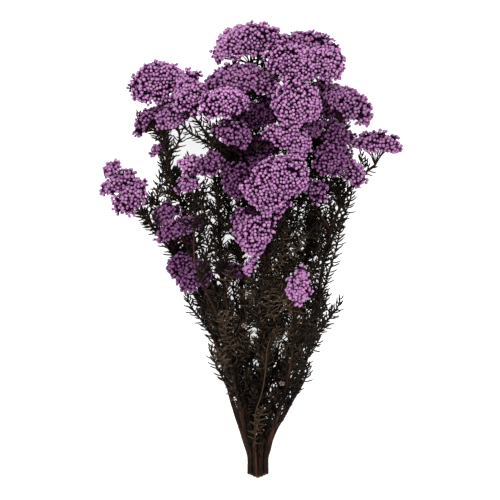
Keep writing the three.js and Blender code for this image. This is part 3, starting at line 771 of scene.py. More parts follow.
class BunchPlan:
    """Lays out the bunch by the rules of its solids: heads, then lines, each bent clear."""

    EDGE_POINTS = 60
    EDGE_STEP = 5.0
    EDGE_NEAR = 8.0

    def __init__(self) -> None:
        """Sets up the heads of the table, and the shape of each dome."""
        self.heads = [
            Head(name, stem, domes)
            for stem, plan in enumerate(STEMS) for name, domes in plan.heads.items()]
        self.domes = [dome for head in self.heads for dome in head.domes]
        self.owner = np.array([k for k, head in enumerate(self.heads) for _ in head.domes])
        for order, dome in enumerate(self.domes, 1):
            dome.phase = order * HEAD.phase_step
        self.lines: list[WoodyLine] = []

    def lay(self) -> None:
        """Spreads the heads, lays the lines and bends them clear."""
        self.spread_heads()
        self.lay_lines()
        self.spread_lines()
        self.lines.extend([self._lay_fine_shoot(np.array(tip, dtype=float)) for tip in FINE_SHOOTS])
        for loose in LOOSE_TWIGS:
            curve = SmoothLine.through(np.array(loose.via, dtype=float))
            points = curve.spaced(FINE.loose_steps)
            self.lines.append(WoodyLine(LineKind.TWIG, loose.stem, points, 1, leafing=loose.leafing))
        for head in self.heads:
            head.domes.extend(SIDE_CLUSTERS.get(head.name, []))
        self.domes = [dome for head in self.heads for dome in head.domes]
        self._measure()

    def _lay_fine_shoot(self, tip: Array) -> WoodyLine:
        """Lays a thin leafy shoot from the nearest line that passes well below its tip.

        Args:
            tip: Its tip, in mm.

        Returns:
            The shoot.
        """
        best = None
        for line in self.lines:
            if line.kind is LineKind.TWIG:
                continue
            points = SmoothLine.through(line.points).spaced(FINE.search)[FINE.ends:-FINE.ends]
            heights = points[:, 1]
            points = points[(tip[1] - heights > FINE.below) & (heights > FINE.lowest)]
            if not len(points):
                continue
            apart = np.linalg.norm(points - tip, axis=1)
            near = apart.argmin()
            if best is None or apart[near] < best[0]:
                best = (apart[near], points[near], line.stem)
        length, root, stem = best
        leaving = mix(root, tip, FINE.bend) + ALONG * FINE.rise
        curve = SmoothLine.bent(root, leaving, tip - ALONG * length * FINE.bend, tip)
        count = max(FINE.fewest, int(length / FINE.step))
        return WoodyLine(LineKind.TWIG, stem, curve.spaced(count), 1)

    def _measure(self) -> None:
        """Notes the ovals of all domes, and how far the lines reach to the left and right."""
        self.oval_centres = np.array([dome.oval_centre() for dome in self.domes])
        self.oval_ways = np.array([dome.ways() for dome in self.domes])
        self.oval_halves = np.array([dome.oval_half() for dome in self.domes])
        curves = [SmoothLine.through(line.points) for line in self.lines]
        points = np.vstack([curve.spaced(self.EDGE_POINTS) for curve in curves])
        self.heights = np.arange(END.y, points[:, 1].max(), self.EDGE_STEP)
        near = np.abs(points[:, 1][None] - self.heights[:, None]) < self.EDGE_NEAR
        self.left_edge = np.where(near, points[:, 0][None], np.inf).min(axis=1)
        self.right_edge = np.where(near, points[:, 0][None], -np.inf).max(axis=1)

    def edges_at(self, heights: Array) -> tuple[Array, Array]:
        """How far left and right the lines reach at distances along the bunch."""
        left = np.interp(heights, self.heights, self.left_edge)
        return left, np.interp(heights, self.heights, self.right_edge)

    def is_clear(self, places: Array, margin: float) -> Array:
        """Finds the places that lie outside every head.

        Args:
            places: Points, in mm.
            margin: By how much they must be outside, in mm.

        Returns:
            True for each place that does.
        """
        apart = places[:, None] - self.oval_centres[None]
        turned = np.einsum("pdc,dac->pda", apart, self.oval_ways)
        return (np.linalg.norm(turned / (self.oval_halves + margin), axis=2) >= 1).all(axis=1)

    def spread_heads(self) -> None:
        """Moves heads that press on each other apart, and brings the lowest ones to the surface."""
        ways = np.array([dome.ways() for dome in self.domes])
        half = np.array([dome.oval_half() for dome in self.domes])
        middles = np.array([dome.middle for dome in self.domes])
        to_oval = np.array([dome.oval_centre() - dome.middle for dome in self.domes])
        to_low = np.array([dome.lowest() - dome.middle[2] for dome in self.domes])
        first, second = np.triu_indices(len(self.domes), 1)
        apart_heads = self.owner[first] != self.owner[second]
        first, second = first[apart_heads], second[apart_heads]
        rests = np.array([head.name in RESTING for head in self.heads])
        for _ in range(CLEAR.head_rounds):
            centres = middles + to_oval
            push = self._parting(centres, ways, half, first, second)
            shift = np.zeros((len(self.heads), 3))
            np.add.at(shift, self.owner[first], -push)
            np.add.at(shift, self.owner[second], push)
            middles += shift[self.owner]
            low = np.full(len(self.heads), np.inf)
            np.minimum.at(low, self.owner, middles[:, 2] + to_low)
            sink = np.where(rests, low + HEAD.rest_cut, np.minimum(low, 0.0))
            middles[:, 2] -= sink[self.owner]
        for dome, middle in zip(self.domes, middles):
            dome.middle = middle

    @staticmethod
    def _parting(
        centres: Array, ways: Array, half: Array, first: Array, second: Array,
    ) -> Array:
        """The push that parts each pair of ovals, along the way that needs the least of it.

        Args:
            centres: Middles of the ovals.
            ways: Their three axes.
            half: Their half-widths along those.
            first: The first oval of each pair.
            second: The second oval of each pair.

        Returns:
            The push on the second oval of each pair.
        """
        apart = centres[second] - centres[first]
        upright = np.where(apart[:, 2:] < 0, -1.0, 1.0) * UP
        tries = np.stack([unit(apart), upright, unit(apart * (1 - UP))], axis=1)
        along = np.einsum("ptc,pc->pt", tries, apart)
        room = along - CLEAR.gap
        for which in (first, second):
            parts = np.einsum("pac,ptc->pta", ways[which], tries) * half[which][:, None, :]
            room = room - np.linalg.norm(parts, axis=2)
        best = room.argmax(axis=1)
        most = room[np.arange(len(best)), best]
        way = tries[np.arange(len(best)), best] * np.array([CLEAR.level, CLEAR.level, 1.0])
        near = (np.linalg.norm(apart, axis=1) <= CLEAR.far_heads) & (most < 0)
        return np.where(near, -most * CLEAR.push, 0.0)[:, None] * way

    def stalk_tips(self, dome: Dome) -> Array:
        """Finds the tips of the solids' stalks under a dome.

        Args:
            dome: The dome.

        Returns:
            The tips, less those that lie in another dome of the head.
        """
        turn = (np.arange(HEAD.stalks) + 0.5) * 2 * math.pi / HEAD.stalks
        rim = dome.point(np.full(HEAD.stalks, HEAD.rim), turn, 0.0)
        tips = mix(dome.underside(), rim, HEAD.stalk_spread) - dome.axis * HEAD.stalk_gap
        kept = np.ones(len(tips), dtype=bool)
        head = next(head for head in self.heads if any(own is dome for own in head.domes))
        for other in head.domes:
            if other is not dome:
                kept &= depth_in(other, tips, CLEAR.tip_margin) >= 1
        return tips[kept]

    def lay_lines(self) -> None:
        """Lays the main stems, then the branches to the other heads, then the shoots."""
        self.lines = [self._lay_stem(stem, plan) for stem, plan in enumerate(STEMS)]
        for head in self.heads:
            parent = self.lines[head.stem]
            for order, dome in enumerate(head.domes):
                small = order > 0 and dome.across < HEAD.branch_for_dome
                if dome is parent.dome or small:
                    continue
                leave = self._leave_height(parent, dome.hub())
                self.lines.append(
                    self._lay_branch(LineKind.BRANCH, parent, dome.hub(), dome.axis, leave, dome))
        for stem, plan in enumerate(STEMS):
            for leave, tip in plan.shoots:
                end = np.array(tip, dtype=float)
                self.lines.append(
                    self._lay_branch(LineKind.SHOOT, self.lines[stem], end, ALONG, leave, None))

    @staticmethod
    def _steps(kind: LineKind, length: float) -> int:
        """How many even steps a line of a kind and length has."""
        return max(BRANCH.fewest_steps, rounded(length / LINE_SIZES[kind].step))

    def _lay_stem(self, stem: int, plan: StemPlan) -> WoodyLine:
        """Lays a main stem from its cut end, straight for a short way, up to its first head.

        Args:
            stem: Its number.
            plan: Its row of the table.

        Returns:
            The stem.
        """
        start = np.array([
            END.x + plan.column * END.pitch, END.y + plan.back, END.low + plan.row * END.rise])
        straight = np.array([start[0], END.y + END.straight, start[2]])
        lead = next(iter(plan.heads.values()))[0]
        curve = SmoothLine.through(np.array([start, straight, *plan.via, lead.hub()]))
        above = curve.spaced(self._steps(LineKind.STEM, curve.length))
        above = above[above[:, 1] > straight[1] + END.bend]
        return WoodyLine(LineKind.STEM, stem, np.vstack([start, straight, above]), 2, lead)

    @staticmethod
    def _leave_height(parent: WoodyLine, end: Array) -> float:
        """Finds where a branch leaves: lower for a head that lies further from the stem.

        Args:
            parent: The stem.
            end: Where the branch ends, in mm.

        Returns:
            The place along the bunch, in mm.
        """
        step = LINE_SIZES[LineKind.STEM].step
        beside = parent.points[np.abs(parent.points[:, 1] - end[1]) < 2 * step]
        nearest = min([BRANCH.farthest, *np.linalg.norm(beside - end, axis=1)])
        return end[1] - min(max(BRANCH.drop * nearest, BRANCH.least_drop), BRANCH.most_drop)

    def _lay_branch(
        self, kind: LineKind, parent: WoodyLine, end: Array, way: Array, leave: float,
        dome: Dome | None,
    ) -> WoodyLine:
        """Lays a branch or shoot that leaves its stem below its end.

        Args:
            kind: Which of the two it is.
            parent: The stem.
            end: Where it ends, in mm.
            way: The way it comes in there.
            leave: The place along the bunch where it leaves, in mm.
            dome: The dome that it bears.

        Returns:
            The branch or shoot.
        """
        line = parent.points
        joints = line[BRANCH.first_joint:-BRANCH.last_joint, 1]
        at = BRANCH.first_joint + int(np.abs(joints - leave).argmin())
        along = unit(line[at + 1] - line[at - 1])
        span = np.linalg.norm(end - line[at])
        last_pull = BRANCH.shoot_arriving if kind is LineKind.SHOOT else BRANCH.arriving
        leaving = line[at] + along * span * BRANCH.leaving
        curve = SmoothLine.bent(line[at], leaving, end - way * span * last_pull, end)
        points = curve.spaced(self._steps(kind, curve.length))
        return WoodyLine(kind, parent.stem, points, 1, dome, parent, at)

    def pieces(self) -> Pieces:
        """Cuts all lines as they now lie into straight pieces, and adds the stalks.

        Returns:
            The pieces; those of the stalks have no line, because they don't move.
        """
        rows, start = [], 0
        for k, line in enumerate(self.lines):
            count = len(line.points) - 1
            order = np.arange(count)
            number = -1 if line.dome is None else self.number_of(line.dome)
            rows.append((
                np.full(count, k), start + order, np.full(count, line.stem), line.points[:-1],
                line.points[1:], line.radius(order / count),
                np.where(order > count - CLEAR.own_pieces, number, -1)))
            start += count + 1
        for head in self.heads:
            for dome in head.domes:
                tips = self.stalk_tips(dome)
                count = len(tips)
                none = np.full(count, -1)
                rows.append((
                    none, np.zeros(count, dtype=int), np.full(count, head.stem),
                    np.tile(dome.hub(), (count, 1)), tips, np.full(count, HEAD.stalk_radius), none))
        return Pieces(*(np.concatenate(part) for part in zip(*rows)))

    def number_of(self, dome: Dome) -> int:
        """The place of a dome in the list of all domes."""
        return next(k for k, other in enumerate(self.domes) if other is dome)

    def spread_lines(self) -> None:
        """Bends lines that run too close to another stem's lines, or to a head, clear of them."""
        rest = [line.points.copy() for line in self.lines]
        cuts = np.cumsum([len(line.points) for line in self.lines])[:-1]
        fixed = self.pieces()
        for turn in range(CLEAR.line_rounds):
            pieces = self._moved(fixed)
            if turn % CLEAR.near_rounds == 0:
                near = self._near_pairs(pieces)
            self._part_lines(pieces, near)
            self._part_from_heads(pieces)
            early = turn < CLEAR.line_rounds * CLEAR.late
            ease = CLEAR.early_ease if early else CLEAR.late_ease
            for line, still, pulls in zip(self.lines, rest, np.split(pieces.pulls, cuts)):
                self._move_line(line, still, pulls, ease)

    def _moved(self, fixed: Pieces) -> Pieces:
        """Brings the pieces up to date.

        Args:
            fixed: The pieces as they were at first.

        Returns:
            The pieces with the ends that their lines now have, and no pulls yet.
        """
        points = np.vstack([line.points for line in self.lines])
        free = fixed.line >= 0
        first = fixed.first[free]
        a, b = fixed.a.copy(), fixed.b.copy()
        a[free], b[free] = points[first], points[first + 1]
        return replace(fixed, a=a, b=b, pulls=np.zeros((len(points), 4)))

    @staticmethod
    def _near_pairs(pieces: Pieces) -> tuple[Array, Array]:
        """Finds the pairs of pieces of different stems that could touch within a few rounds.

        Args:
            pieces: All pieces.

        Returns:
            The numbers of the first and of the second piece of each pair.
        """
        middles = mix(pieces.a, pieces.b, 0.5)
        first, second = np.triu_indices(len(middles), 1)
        other = pieces.stem[first] != pieces.stem[second]
        free = (pieces.line[first] >= 0) | (pieces.line[second] >= 0)
        first, second = first[other & free], second[other & free]
        near = np.linalg.norm(middles[first] - middles[second], axis=1) < CLEAR.far_lines
        return first[near], second[near]

    @staticmethod
    def _part_lines(pieces: Pieces, near: tuple[Array, Array]) -> None:
        """Pushes apart the pairs of pieces that are too close.

        Args:
            pieces: All pieces.
            near: The pairs that could be.
        """
        p, q = near
        u, v = nearest_shares(pieces.a[p], pieces.b[p], pieces.a[q], pieces.b[q])
        apart = mix(pieces.a[q], pieces.b[q], v[:, None])
        apart = apart - mix(pieces.a[p], pieces.b[p], u[:, None])
        lack = pieces.radius[p] + pieces.radius[q] + CLEAR.line_gap - np.linalg.norm(apart, axis=1)
        tight = lack > 0
        p, q, u, v, apart, lack = p[tight], q[tight], u[tight], v[tight], apart[tight], lack[tight]
        one_fixed = (pieces.line[p] < 0) | (pieces.line[q] < 0)
        push = unit(apart) * np.where(one_fixed, lack, lack / 2)[:, None]
        pieces.shove(p, u, -push)
        pieces.shove(q, v, push)

    def _part_from_heads(self, pieces: Pieces) -> None:
        """Pushes pieces out of the heads.

        Args:
            pieces: All pieces.
        """
        free = np.flatnonzero(pieces.line >= 0)
        for number, dome in enumerate(self.domes):
            apart = np.linalg.norm(pieces.a[free] - dome.oval_centre(), axis=1)
            near = apart <= CLEAR.far_from_head
            which = free[near & (pieces.own_dome[free] != number)]
            margin = pieces.radius[which] + CLEAR.gap + CLEAR.head_margin
            for share in CLEAR.probes:
                place = mix(pieces.a[which], pieces.b[which], share)
                depth = depth_in(dome, place, margin)
                inside = depth < 1
                away = (place - dome.oval_centre())[inside]
                held = np.maximum(depth[inside], CLEAR.deepest)
                force = np.minimum(1 / held - 1, CLEAR.hardest)
                shares = np.full(inside.sum(), share)
                pieces.shove(which[inside], shares, away * force[:, None])

    @staticmethod
    def _move_line(line: WoodyLine, rest: Array, pulls: Array, ease: float) -> None:
        """Moves one line by one round: its free points follow their pulls.

        Args:
            line: The line.
            rest: Its points as first laid.
            pulls: The pulls on its points, and their weights.
            ease: How much of each move is spread to the points beside it.
        """
        last = len(line.points) - 1
        end = last if line.kind is LineKind.SHOOT else last - 1
        free = slice(line.pinned, end + 1)
        weight = np.maximum(pulls[:, 3:], 1.0)
        line.points[free] += (pulls[:, :3] * CLEAR.pull / weight)[free]
        moved = line.points - rest
        beside = moved.copy()
        beside[1:-1] = (moved[:-2] + moved[2:]) / 2
        beside[-1] = moved[-2]
        line.points[free] = (rest + mix(moved, beside, ease))[free]
        lowest = line.radius(np.arange(last + 1) / last) + CLEAR.floor_gap
        line.points[free, 2] = np.maximum(line.points[free, 2], lowest[free])
        if line.parent is not None:
            line.points[0] = line.parent.points[line.at]


def depth_in(dome: Dome, places: Array, margin: float | Array) -> Array:
    """How deep places lie in a dome's oval.

    Args:
        dome: The dome.
        places: Points, in mm.
        margin: What the oval grows by, in mm.

    Returns:
        1 on the skin, less inside.
    """
    half = dome.oval_half() + np.atleast_1d(margin)[:, None]
    return np.linalg.norm((places - dome.oval_centre()) @ dome.ways().T / half, axis=1)


def nearest_shares(p: Array, q: Array, r: Array, s: Array) -> tuple[Array, Array]:
    """The nearest points of pairs of short straight pieces.

    Args:
        p: Starts of the first pieces.
        q: Ends of the first pieces.
        r: Starts of the second pieces.
        s: Ends of the second pieces.

    Returns:
        The shares of the first and of the second pieces.
    """
    d1, d2, w = q - p, s - r, p - r
    a, b, c = (d1 * d1).sum(1), (d1 * d2).sum(1), (d1 * w).sum(1)
    e, f = (d2 * d2).sum(1), (d2 * w).sum(1)
    spread = a * e - b * b
    crossing = spread > CLEAR.parallel
    safe = np.where(crossing, spread, 1.0)
    u = np.where(crossing, np.clip((b * f - c * e) / safe, 0, 1), 0.0)
    v = (b * u + f) / e
    u = np.where(v < 0, np.clip(-c / a, 0, 1), np.where(v > 1, np.clip((b - c) / a, 0, 1), u))
    return u, np.clip(v, 0, 1)


# Finishes


def linear(colour: str) -> tuple[float, float, float, float]:
    """Turns an sRGB colour into a linear one.

    Args:
        colour: The colour in hex, as "#rrggbb".

    Returns:
        Its linear values, with full alpha.
    """
    parts = [int(colour[k:k + 2], 16) / 255 for k in (1, 3, 5)]
    curve = [c / 12.92 if c <= 0.04045 else ((c + 0.055) / 1.055) ** 2.4 for c in parts]
    return (*curve, 1.0)


def add_node(
    tree: NodeTree, kind: str, settings: dict | None = None,
    values: dict | None = None, links: dict | None = None,
    stops: list[tuple[float, str]] | None = None,
) -> Node:
    """Adds one shader node.

    Args:
        tree: The tree that it is added to.
        kind: The node's type, without the word ShaderNode at its front.
        settings: The node's own settings.
        values: Values for inputs, by name or number.
        links: Outputs that feed inputs, by name or number.
        stops: For a ramp, its places and sRGB colours.

    Returns:
        The node.
    """
    node = tree.nodes.new(f"ShaderNode{kind}")
    for name, value in (settings or {}).items():
        setattr(node, name, value)
    for name, value in (values or {}).items():
        node.inputs[name].default_value = value
    for name, output in (links or {}).items():
        tree.links.new(output, node.inputs[name])
    if stops:
        ramp = node.color_ramp.elements
        while len(ramp) < len(stops):
            ramp.new(0.5)
        for element, (place, colour) in zip(ramp, stops):
            element.position = place
            element.color = linear(colour)
    return node


def new_material(name: str, show: str) -> tuple[Material, NodeTree]:
    """Makes a material with no nodes yet.

    Args:
        name: The material's name.
        show: Its plain colour outside a render, as sRGB hex.

    Returns:
        The material and its tree.
    """
    material = bpy.data.materials.new(name)
    material.use_nodes = True
    material.diffuse_color = linear(show)
    material.node_tree.nodes.clear()
    return material, material.node_tree


@dataclass(frozen=True)
class Finish:
    """What all finishes share: a dull surface, and a relief in mm that its texture gives it."""

    roughness: float = 0.8
    ior: float = 1.5
    gloss: float = 0.5
    relief: float = 0.0
    relief_mm: float = 0.0

    def end(
        self, tree: NodeTree, colour: NodeSocket | None = None, height: NodeSocket | None = None,
        sunk: bool = False, **values: object,
    ) -> None:
        """Ends a material with its relief, its shader and its output.

        Args:
            tree: The material's tree.
            colour: What gives its colour.
            height: What gives its relief.
            sunk: Whether the relief goes inward.
            **values: Other values of the shader, by name.
        """
        links = {} if colour is None else {"Base Color": colour}
        if height is not None:
            bump = add_node(
                tree, "Bump", {"invert": sunk},
                {"Strength": self.relief, "Distance": self.relief_mm * MM}, {"Height": height})
            links["Normal"] = bump.outputs[0]
        shader = add_node(
            tree, "BsdfPrincipled",
            values={"Roughness": self.roughness, "IOR": self.ior,
                    "Specular IOR Level": self.gloss, **values}, links=links)
        add_node(tree, "OutputMaterial", links={"Surface": shader.outputs[0]})


@dataclass(frozen=True)
class DyedBuds(Finish):
    """Dried rice flower buds, dipped in purple dye: closed papery bracts, shut like scales.

    To the eye each bud is a soft matt bead with a paler crown, which is a painted highlight, and a
    dark foot, which is painted shade. Thin bract edges give a faint silky gloss.
    """

    foot: str = "#180515"
    flank: str = "#7c4176"
    crown: str = "#be81b9"
    tip: str = "#c394bf"
    stops: tuple[float, ...] = (0.12, 0.33, 0.53, 0.95)
    dullest: float = 0.78
    brightest: float = 1.16
    hue_low: float = 0.488
    hue_high: float = 0.512
    deepest_shade: float = 0.2
    lightest_shade: float = 0.9
    richest_in_shade: float = 1.22
    seam: float = 0.07
    seam_blur: float = 0.9
    bract_factor: float = 0.9
    seam_factors: tuple[float, ...] = (0.55, 0.5, 0.55, 1.0)
    bract_share: float = 0.35
    roughness: float = 0.65
    ior: float = 1.45
    gloss: float = 0.06
    relief: float = 0.35
    relief_mm: float = 0.15

    def material(self) -> Material:
        """Builds the material.

        Returns:
            The material.
        """
        material, tree = new_material("dyed_papery_buds", self.flank)
        rise = add_node(tree, "Attribute", {"attribute_name": "rise"})
        tone = add_node(tree, "Attribute", {"attribute_name": "tone"})
        # the rise mark runs from a bud's foot to its top: the dark foot is painted shade, the pale
        # crown and tip a painted highlight, and rise is dimmed in the valleys between clusters as
        # painted shade
        ramp = add_node(
            tree, "ValToRGB", links={"Fac": rise.outputs["Fac"]},
            stops=list(zip(self.stops, (self.foot, self.flank, self.crown, self.tip))))
        # single buds take the dye a little differently: value by a fifth, hue by a trace
        value = add_node(
            tree, "MapRange",
            values={"To Min": self.dullest, "To Max": self.brightest},
            links={"Value": tone.outputs["Fac"]})
        # the dye mark is the head's painted shade: it darkens heads deep in the bunch as if in
        # shadow
        dye = add_node(tree, "Attribute", {"attribute_name": "dye"})
        value = add_node(
            tree, "Math", {"operation": "MULTIPLY"},
            links={0: value.outputs[0], 1: dye.outputs["Fac"]})
        hue = add_node(
            tree, "MapRange", values={"To Min": self.hue_low, "To Max": self.hue_high},
            links={"Value": tone.outputs["Fac"]})
        # a head in deeper painted shade is not only darker but richer in colour
        shade_richness = add_node(
            tree, "MapRange",
            values={"From Min": self.deepest_shade, "From Max": self.lightest_shade,
                    "To Min": self.richest_in_shade, "To Max": 1.0},
            links={"Value": dye.outputs["Fac"]})
        tinted = add_node(
            tree, "HueSaturation",
            links={"Color": ramp.outputs[0], "Value": value.outputs[0], "Hue": hue.outputs[0],
                   "Saturation": shade_richness.outputs[0]})
        # real bracts are 1 mm wide, too fine to show, so these are 2 mm wide and 1.2 mm apart up
        # the bud, each row half a bract round; one unit of scales is one bract
        place = add_node(tree, "Attribute", {"attribute_name": "scales"})
        bracts = add_node(
            tree, "TexBrick", {"offset": 0.5},
            {"Scale": 1.0, "Mortar Size": self.seam, "Mortar Smooth": self.seam_blur,
             "Brick Width": 1.0, "Row Height": 1.0, "Color1": (1, 1, 1, 1),
             "Color2": (*[self.bract_factor] * 3, 1), "Mortar": self.seam_factors},
            {"Vector": place.outputs["Vector"]})
        edged = add_node(
            tree, "Mix", {"data_type": "RGBA", "blend_type": "MULTIPLY"},
            {"Factor": self.bract_share}, {6: tinted.outputs[0], 7: bracts.outputs["Color"]})
        self.end(tree, edged.outputs[2], bracts.outputs["Fac"], sunk=True)
        return material


@dataclass(frozen=True)
class UndyedBuds(Finish):
    """Rice flower buds that the dye missed, dried to a dull pinkish straw."""

    shade: str = "#5e4744"
    crown: str = "#9c807c"
    stops: tuple[float, ...] = (0.2, 0.9)
    roughness: float = 0.6
    ior: float = 1.45

    def material(self) -> Material:
        """Builds the material.

        Returns:
            The material.
        """
        material, tree = new_material("undyed_dried_buds", self.crown)
        rise = add_node(tree, "Attribute", {"attribute_name": "rise"})
        # the rise mark runs from the foot, darkened as painted shade, to the crown, lightened as a
        # painted highlight
        ramp = add_node(
            tree, "ValToRGB", links={"Fac": rise.outputs["Fac"]},
            stops=list(zip(self.stops, (self.shade, self.crown))))
        self.end(tree, ramp.outputs[0])
        return material


@dataclass(frozen=True)
class StalkFeltInShade(Finish):
    """The felt of fine stalks and bud bases inside a head, given a nearly black purple.

    Its near black is painted shade, standing in for the shade deep inside the head; it shows as a
    dull, nearly black purple in the gaps between the buds.
    """

    # both colours are painted shade: deep for the darkest parts of the felt's noise, worn for the
    # lighter
    deep: str = "#10040f"
    worn: str = "#270c24"
    stops: tuple[float, ...] = (0.35, 0.75)
    pitch_mm: float = 1.2
    roughness: float = 0.85
    gloss: float = 0.02
    relief: float = 0.8
    relief_mm: float = 0.6

    def material(self) -> Material:
        """Builds the material.

        Returns:
            The material.
        """
        material, tree = new_material("stalk_felt_in_painted_shade", self.deep)
        place = add_node(tree, "TexCoord")
        # the pitch is that of the fine stalks
        felt = add_node(
            tree, "TexNoise", values={"Scale": 1 / (self.pitch_mm * MM), "Detail": 3.0},
            links={"Vector": place.outputs["Object"]})
        ramp = add_node(
            tree, "ValToRGB", links={"Fac": felt.outputs["Fac"]},
            stops=list(zip(self.stops, (self.deep, self.worn))))
        self.end(tree, ramp.outputs[0], felt.outputs["Fac"])
        return material


@dataclass(frozen=True)
class WeatheredBark(Finish):
    """Thin bark of a dried woody shrub, shrunk into fine lengthwise ridges.

    It is dull and dark brown, with redder strips where the outer skin has flaked off.
    """

    furrow: str = "#0b0705"
    bark: str = "#1e1510"
    ridge: str = "#382b23"
    flaked: str = "#4a2c1f"
    cut: str = "#6d5540"
    stops: tuple[float, ...] = (0.3, 0.5, 0.72)
    ridge_mm: float = 0.625
    ridge_rough: float = 0.6
    strip_mm: float = 1 / 0.28
    strip_edges: tuple[float, float] = (0.52, 0.64)
    roughness: float = 0.8
    gloss: float = 0.08
    relief: float = 0.7
    relief_mm: float = 0.4

    def material(self) -> Material:
        """Builds the material.

        Returns:
            The material.
        """
        material, tree = new_material("weathered_bark", self.bark)
        grain = add_node(tree, "Attribute", {"attribute_name": "grain"})
        # grain is in mm round the stem and much shorter along it: ridges 0.6 mm apart run on for
        # about 5 mm, and flaked strips 3.6 mm wide for about 30 mm
        ridges = add_node(
            tree, "TexNoise",
            values={"Scale": 1 / self.ridge_mm, "Detail": 4.0, "Roughness": self.ridge_rough},
            links={"Vector": grain.outputs["Vector"]})
        colour = add_node(
            tree, "ValToRGB", links={"Fac": ridges.outputs["Fac"]},
            stops=list(zip(self.stops, (self.furrow, self.bark, self.ridge))))
        strips = add_node(
            tree, "TexNoise", values={"Scale": 1 / self.strip_mm, "Detail": 2.0},
            links={"Vector": grain.outputs["Vector"]})
        where = add_node(
            tree, "MapRange",
            values={"From Min": self.strip_edges[0], "From Max": self.strip_edges[1]},
            links={"Value": strips.outputs["Fac"]})
        # the mark tone says where a stem has lost its outer skin all round
        skinned = add_node(tree, "Attribute", {"attribute_name": "tone"})
        either = add_node(
            tree, "Math", {"operation": "ADD", "use_clamp": True},
            links={0: where.outputs[0], 1: skinned.outputs["Fac"]})
        mixed = add_node(
            tree, "Mix", {"data_type": "RGBA"}, {7: linear(self.flaked)},
            {0: either.outputs[0], 6: colour.outputs[0]})
        # the mark rise is 1 on a cut end, and less on old wood
        end = add_node(tree, "Attribute", {"attribute_name": "rise"})
        ended = add_node(
            tree, "Mix", {"data_type": "RGBA"}, {7: linear(self.cut)},
            {0: end.outputs["Fac"], 6: mixed.outputs[2]})
        self.end(tree, ended.outputs[2], ridges.outputs["Fac"])
        return material


@dataclass(frozen=True)
class DriedNeedles(Finish):
    """Needle leaves of the shrub, dried leathery and nearly black by the dye bath.

    Their rolled edges catch a faint satin light, and the oldest ones have faded to brown.
    """

    black: str = "#0a0806"
    dark: str = "#322921"
    brown: str = "#5a4a3c"
    stops: tuple[float, ...] = (0.0, 0.6, 1.0)
    wrinkle_mm: float = 0.8
    roughness: float = 0.7
    ior: float = 1.45
    gloss: float = 0.1
    relief: float = 0.4
    relief_mm: float = 0.2

    def material(self) -> Material:
        """Builds the material.

        Returns:
            The material.
        """
        material, tree = new_material("dried_needle_leaves", self.dark)
        tone = add_node(tree, "Attribute", {"attribute_name": "tone"})
        ramp = add_node(
            tree, "ValToRGB", links={"Fac": tone.outputs["Fac"]},
            stops=list(zip(self.stops, (self.black, self.dark, self.brown))))
        place = add_node(tree, "TexCoord")
        # wrinkles across a dried needle are 0.4 mm apart, drawn twice as coarse so that they show
        wrinkles = add_node(
            tree, "TexNoise",
            values={"Scale": 1 / (self.wrinkle_mm * MM), "Detail": 2.0},
            links={"Vector": place.outputs["Object"]})
        self.end(tree, ramp.outputs[0], wrinkles.outputs["Fac"])
        return material


@dataclass(frozen=True)
class StudioPaper(Finish):
    """White background paper, rolled smooth: it has no gloss, and only the faintest tooth."""

    white: str = "#fbfbfb"
    tooth_mm: float = 1.0
    glow: float = 0.75
    roughness: float = 0.95
    relief: float = 0.02
    relief_mm: float = 0.05

    def material(self) -> Material:
        """Builds the material.

        Returns:
            The material.
        """
        material, tree = new_material("white_background_paper", self.white)
        place = add_node(tree, "TexCoord")
        # the tooth of the paper is 0.5 mm, drawn twice as coarse so that it shows
        tooth = add_node(
            tree, "TexNoise", values={"Scale": 1 / (self.tooth_mm * MM), "Detail": 2.0},
            links={"Vector": place.outputs["Object"]})
        white = linear(self.white)
        self.end(tree, height=tooth.outputs["Fac"], **{
            "Base Color": white, "Emission Color": white, "Emission Strength": self.glow})
        return material


# Meshes


class MeshDraft:
    """Collects the points, faces and marks of one piece, in mm, before it becomes a mesh."""

    # the marks on each point, and how many numbers each mark has; dye is a head's painted shade
    MARKS = {"tone": 1, "rise": 1, "dye": 1, "scales": 3, "grain": 3}
    # nothing reaches below this height, in mm, so that nothing sinks into the floor
    LOWEST = 0.05

    def __init__(self) -> None:
        """Starts an empty draft."""
        self.points: list[Array] = []
        self.faces: list[list[int]] = []
        self.slots: list[Array] = []
        self.marks: dict[str, list[Array]] = {name: [] for name in self.MARKS}
        self.count = 0

    def add(self, points: Array, faces: list[Array], slot: int, **marks: Array) -> None:
        """Adds a body.

        Args:
            points: Its points, in mm.
            faces: Arrays of faces, each of one number of corners.
            slot: The number of its finish.
            **marks: Values for its points, by name.
        """
        for group in faces:
            self.faces.extend((group + self.count).tolist())
            self.slots.append(np.full(len(group), slot))
        for name, width in self.MARKS.items():
            empty = np.zeros((len(points), width))
            given = marks.get(name)
            self.marks[name].append(empty if given is None else np.reshape(given, empty.shape))
        self.points.append(points)
        self.count += len(points)

    def build(self, name: str, finishes: list[Material]) -> Object:
        """Makes the object.

        Args:
            name: Its name.
            finishes: Its materials, in slot order.

        Returns:
            The object, linked to the scene.
        """
        mesh = bpy.data.meshes.new(name)
        points = np.vstack(self.points)
        points[:, 2] = np.maximum(points[:, 2], self.LOWEST)
        mesh.from_pydata((points * MM).tolist(), [], self.faces)
        mesh.polygons.foreach_set("material_index", np.concatenate(self.slots).astype(np.int32))
        mesh.polygons.foreach_set("use_smooth", np.ones(len(mesh.polygons), dtype=bool))
        for mark, width in self.MARKS.items():
            kind, key = ("FLOAT", "value") if width == 1 else ("FLOAT_VECTOR", "vector")
            layer = mesh.attributes.new(mark, kind, "POINT")
            layer.data.foreach_set(key, np.vstack(self.marks[mark]).astype(np.float32).ravel())
        for finish in finishes:
            mesh.materials.append(finish)
        piece = bpy.data.objects.new(name, mesh)
        bpy.context.scene.collection.objects.link(piece)
        return piece


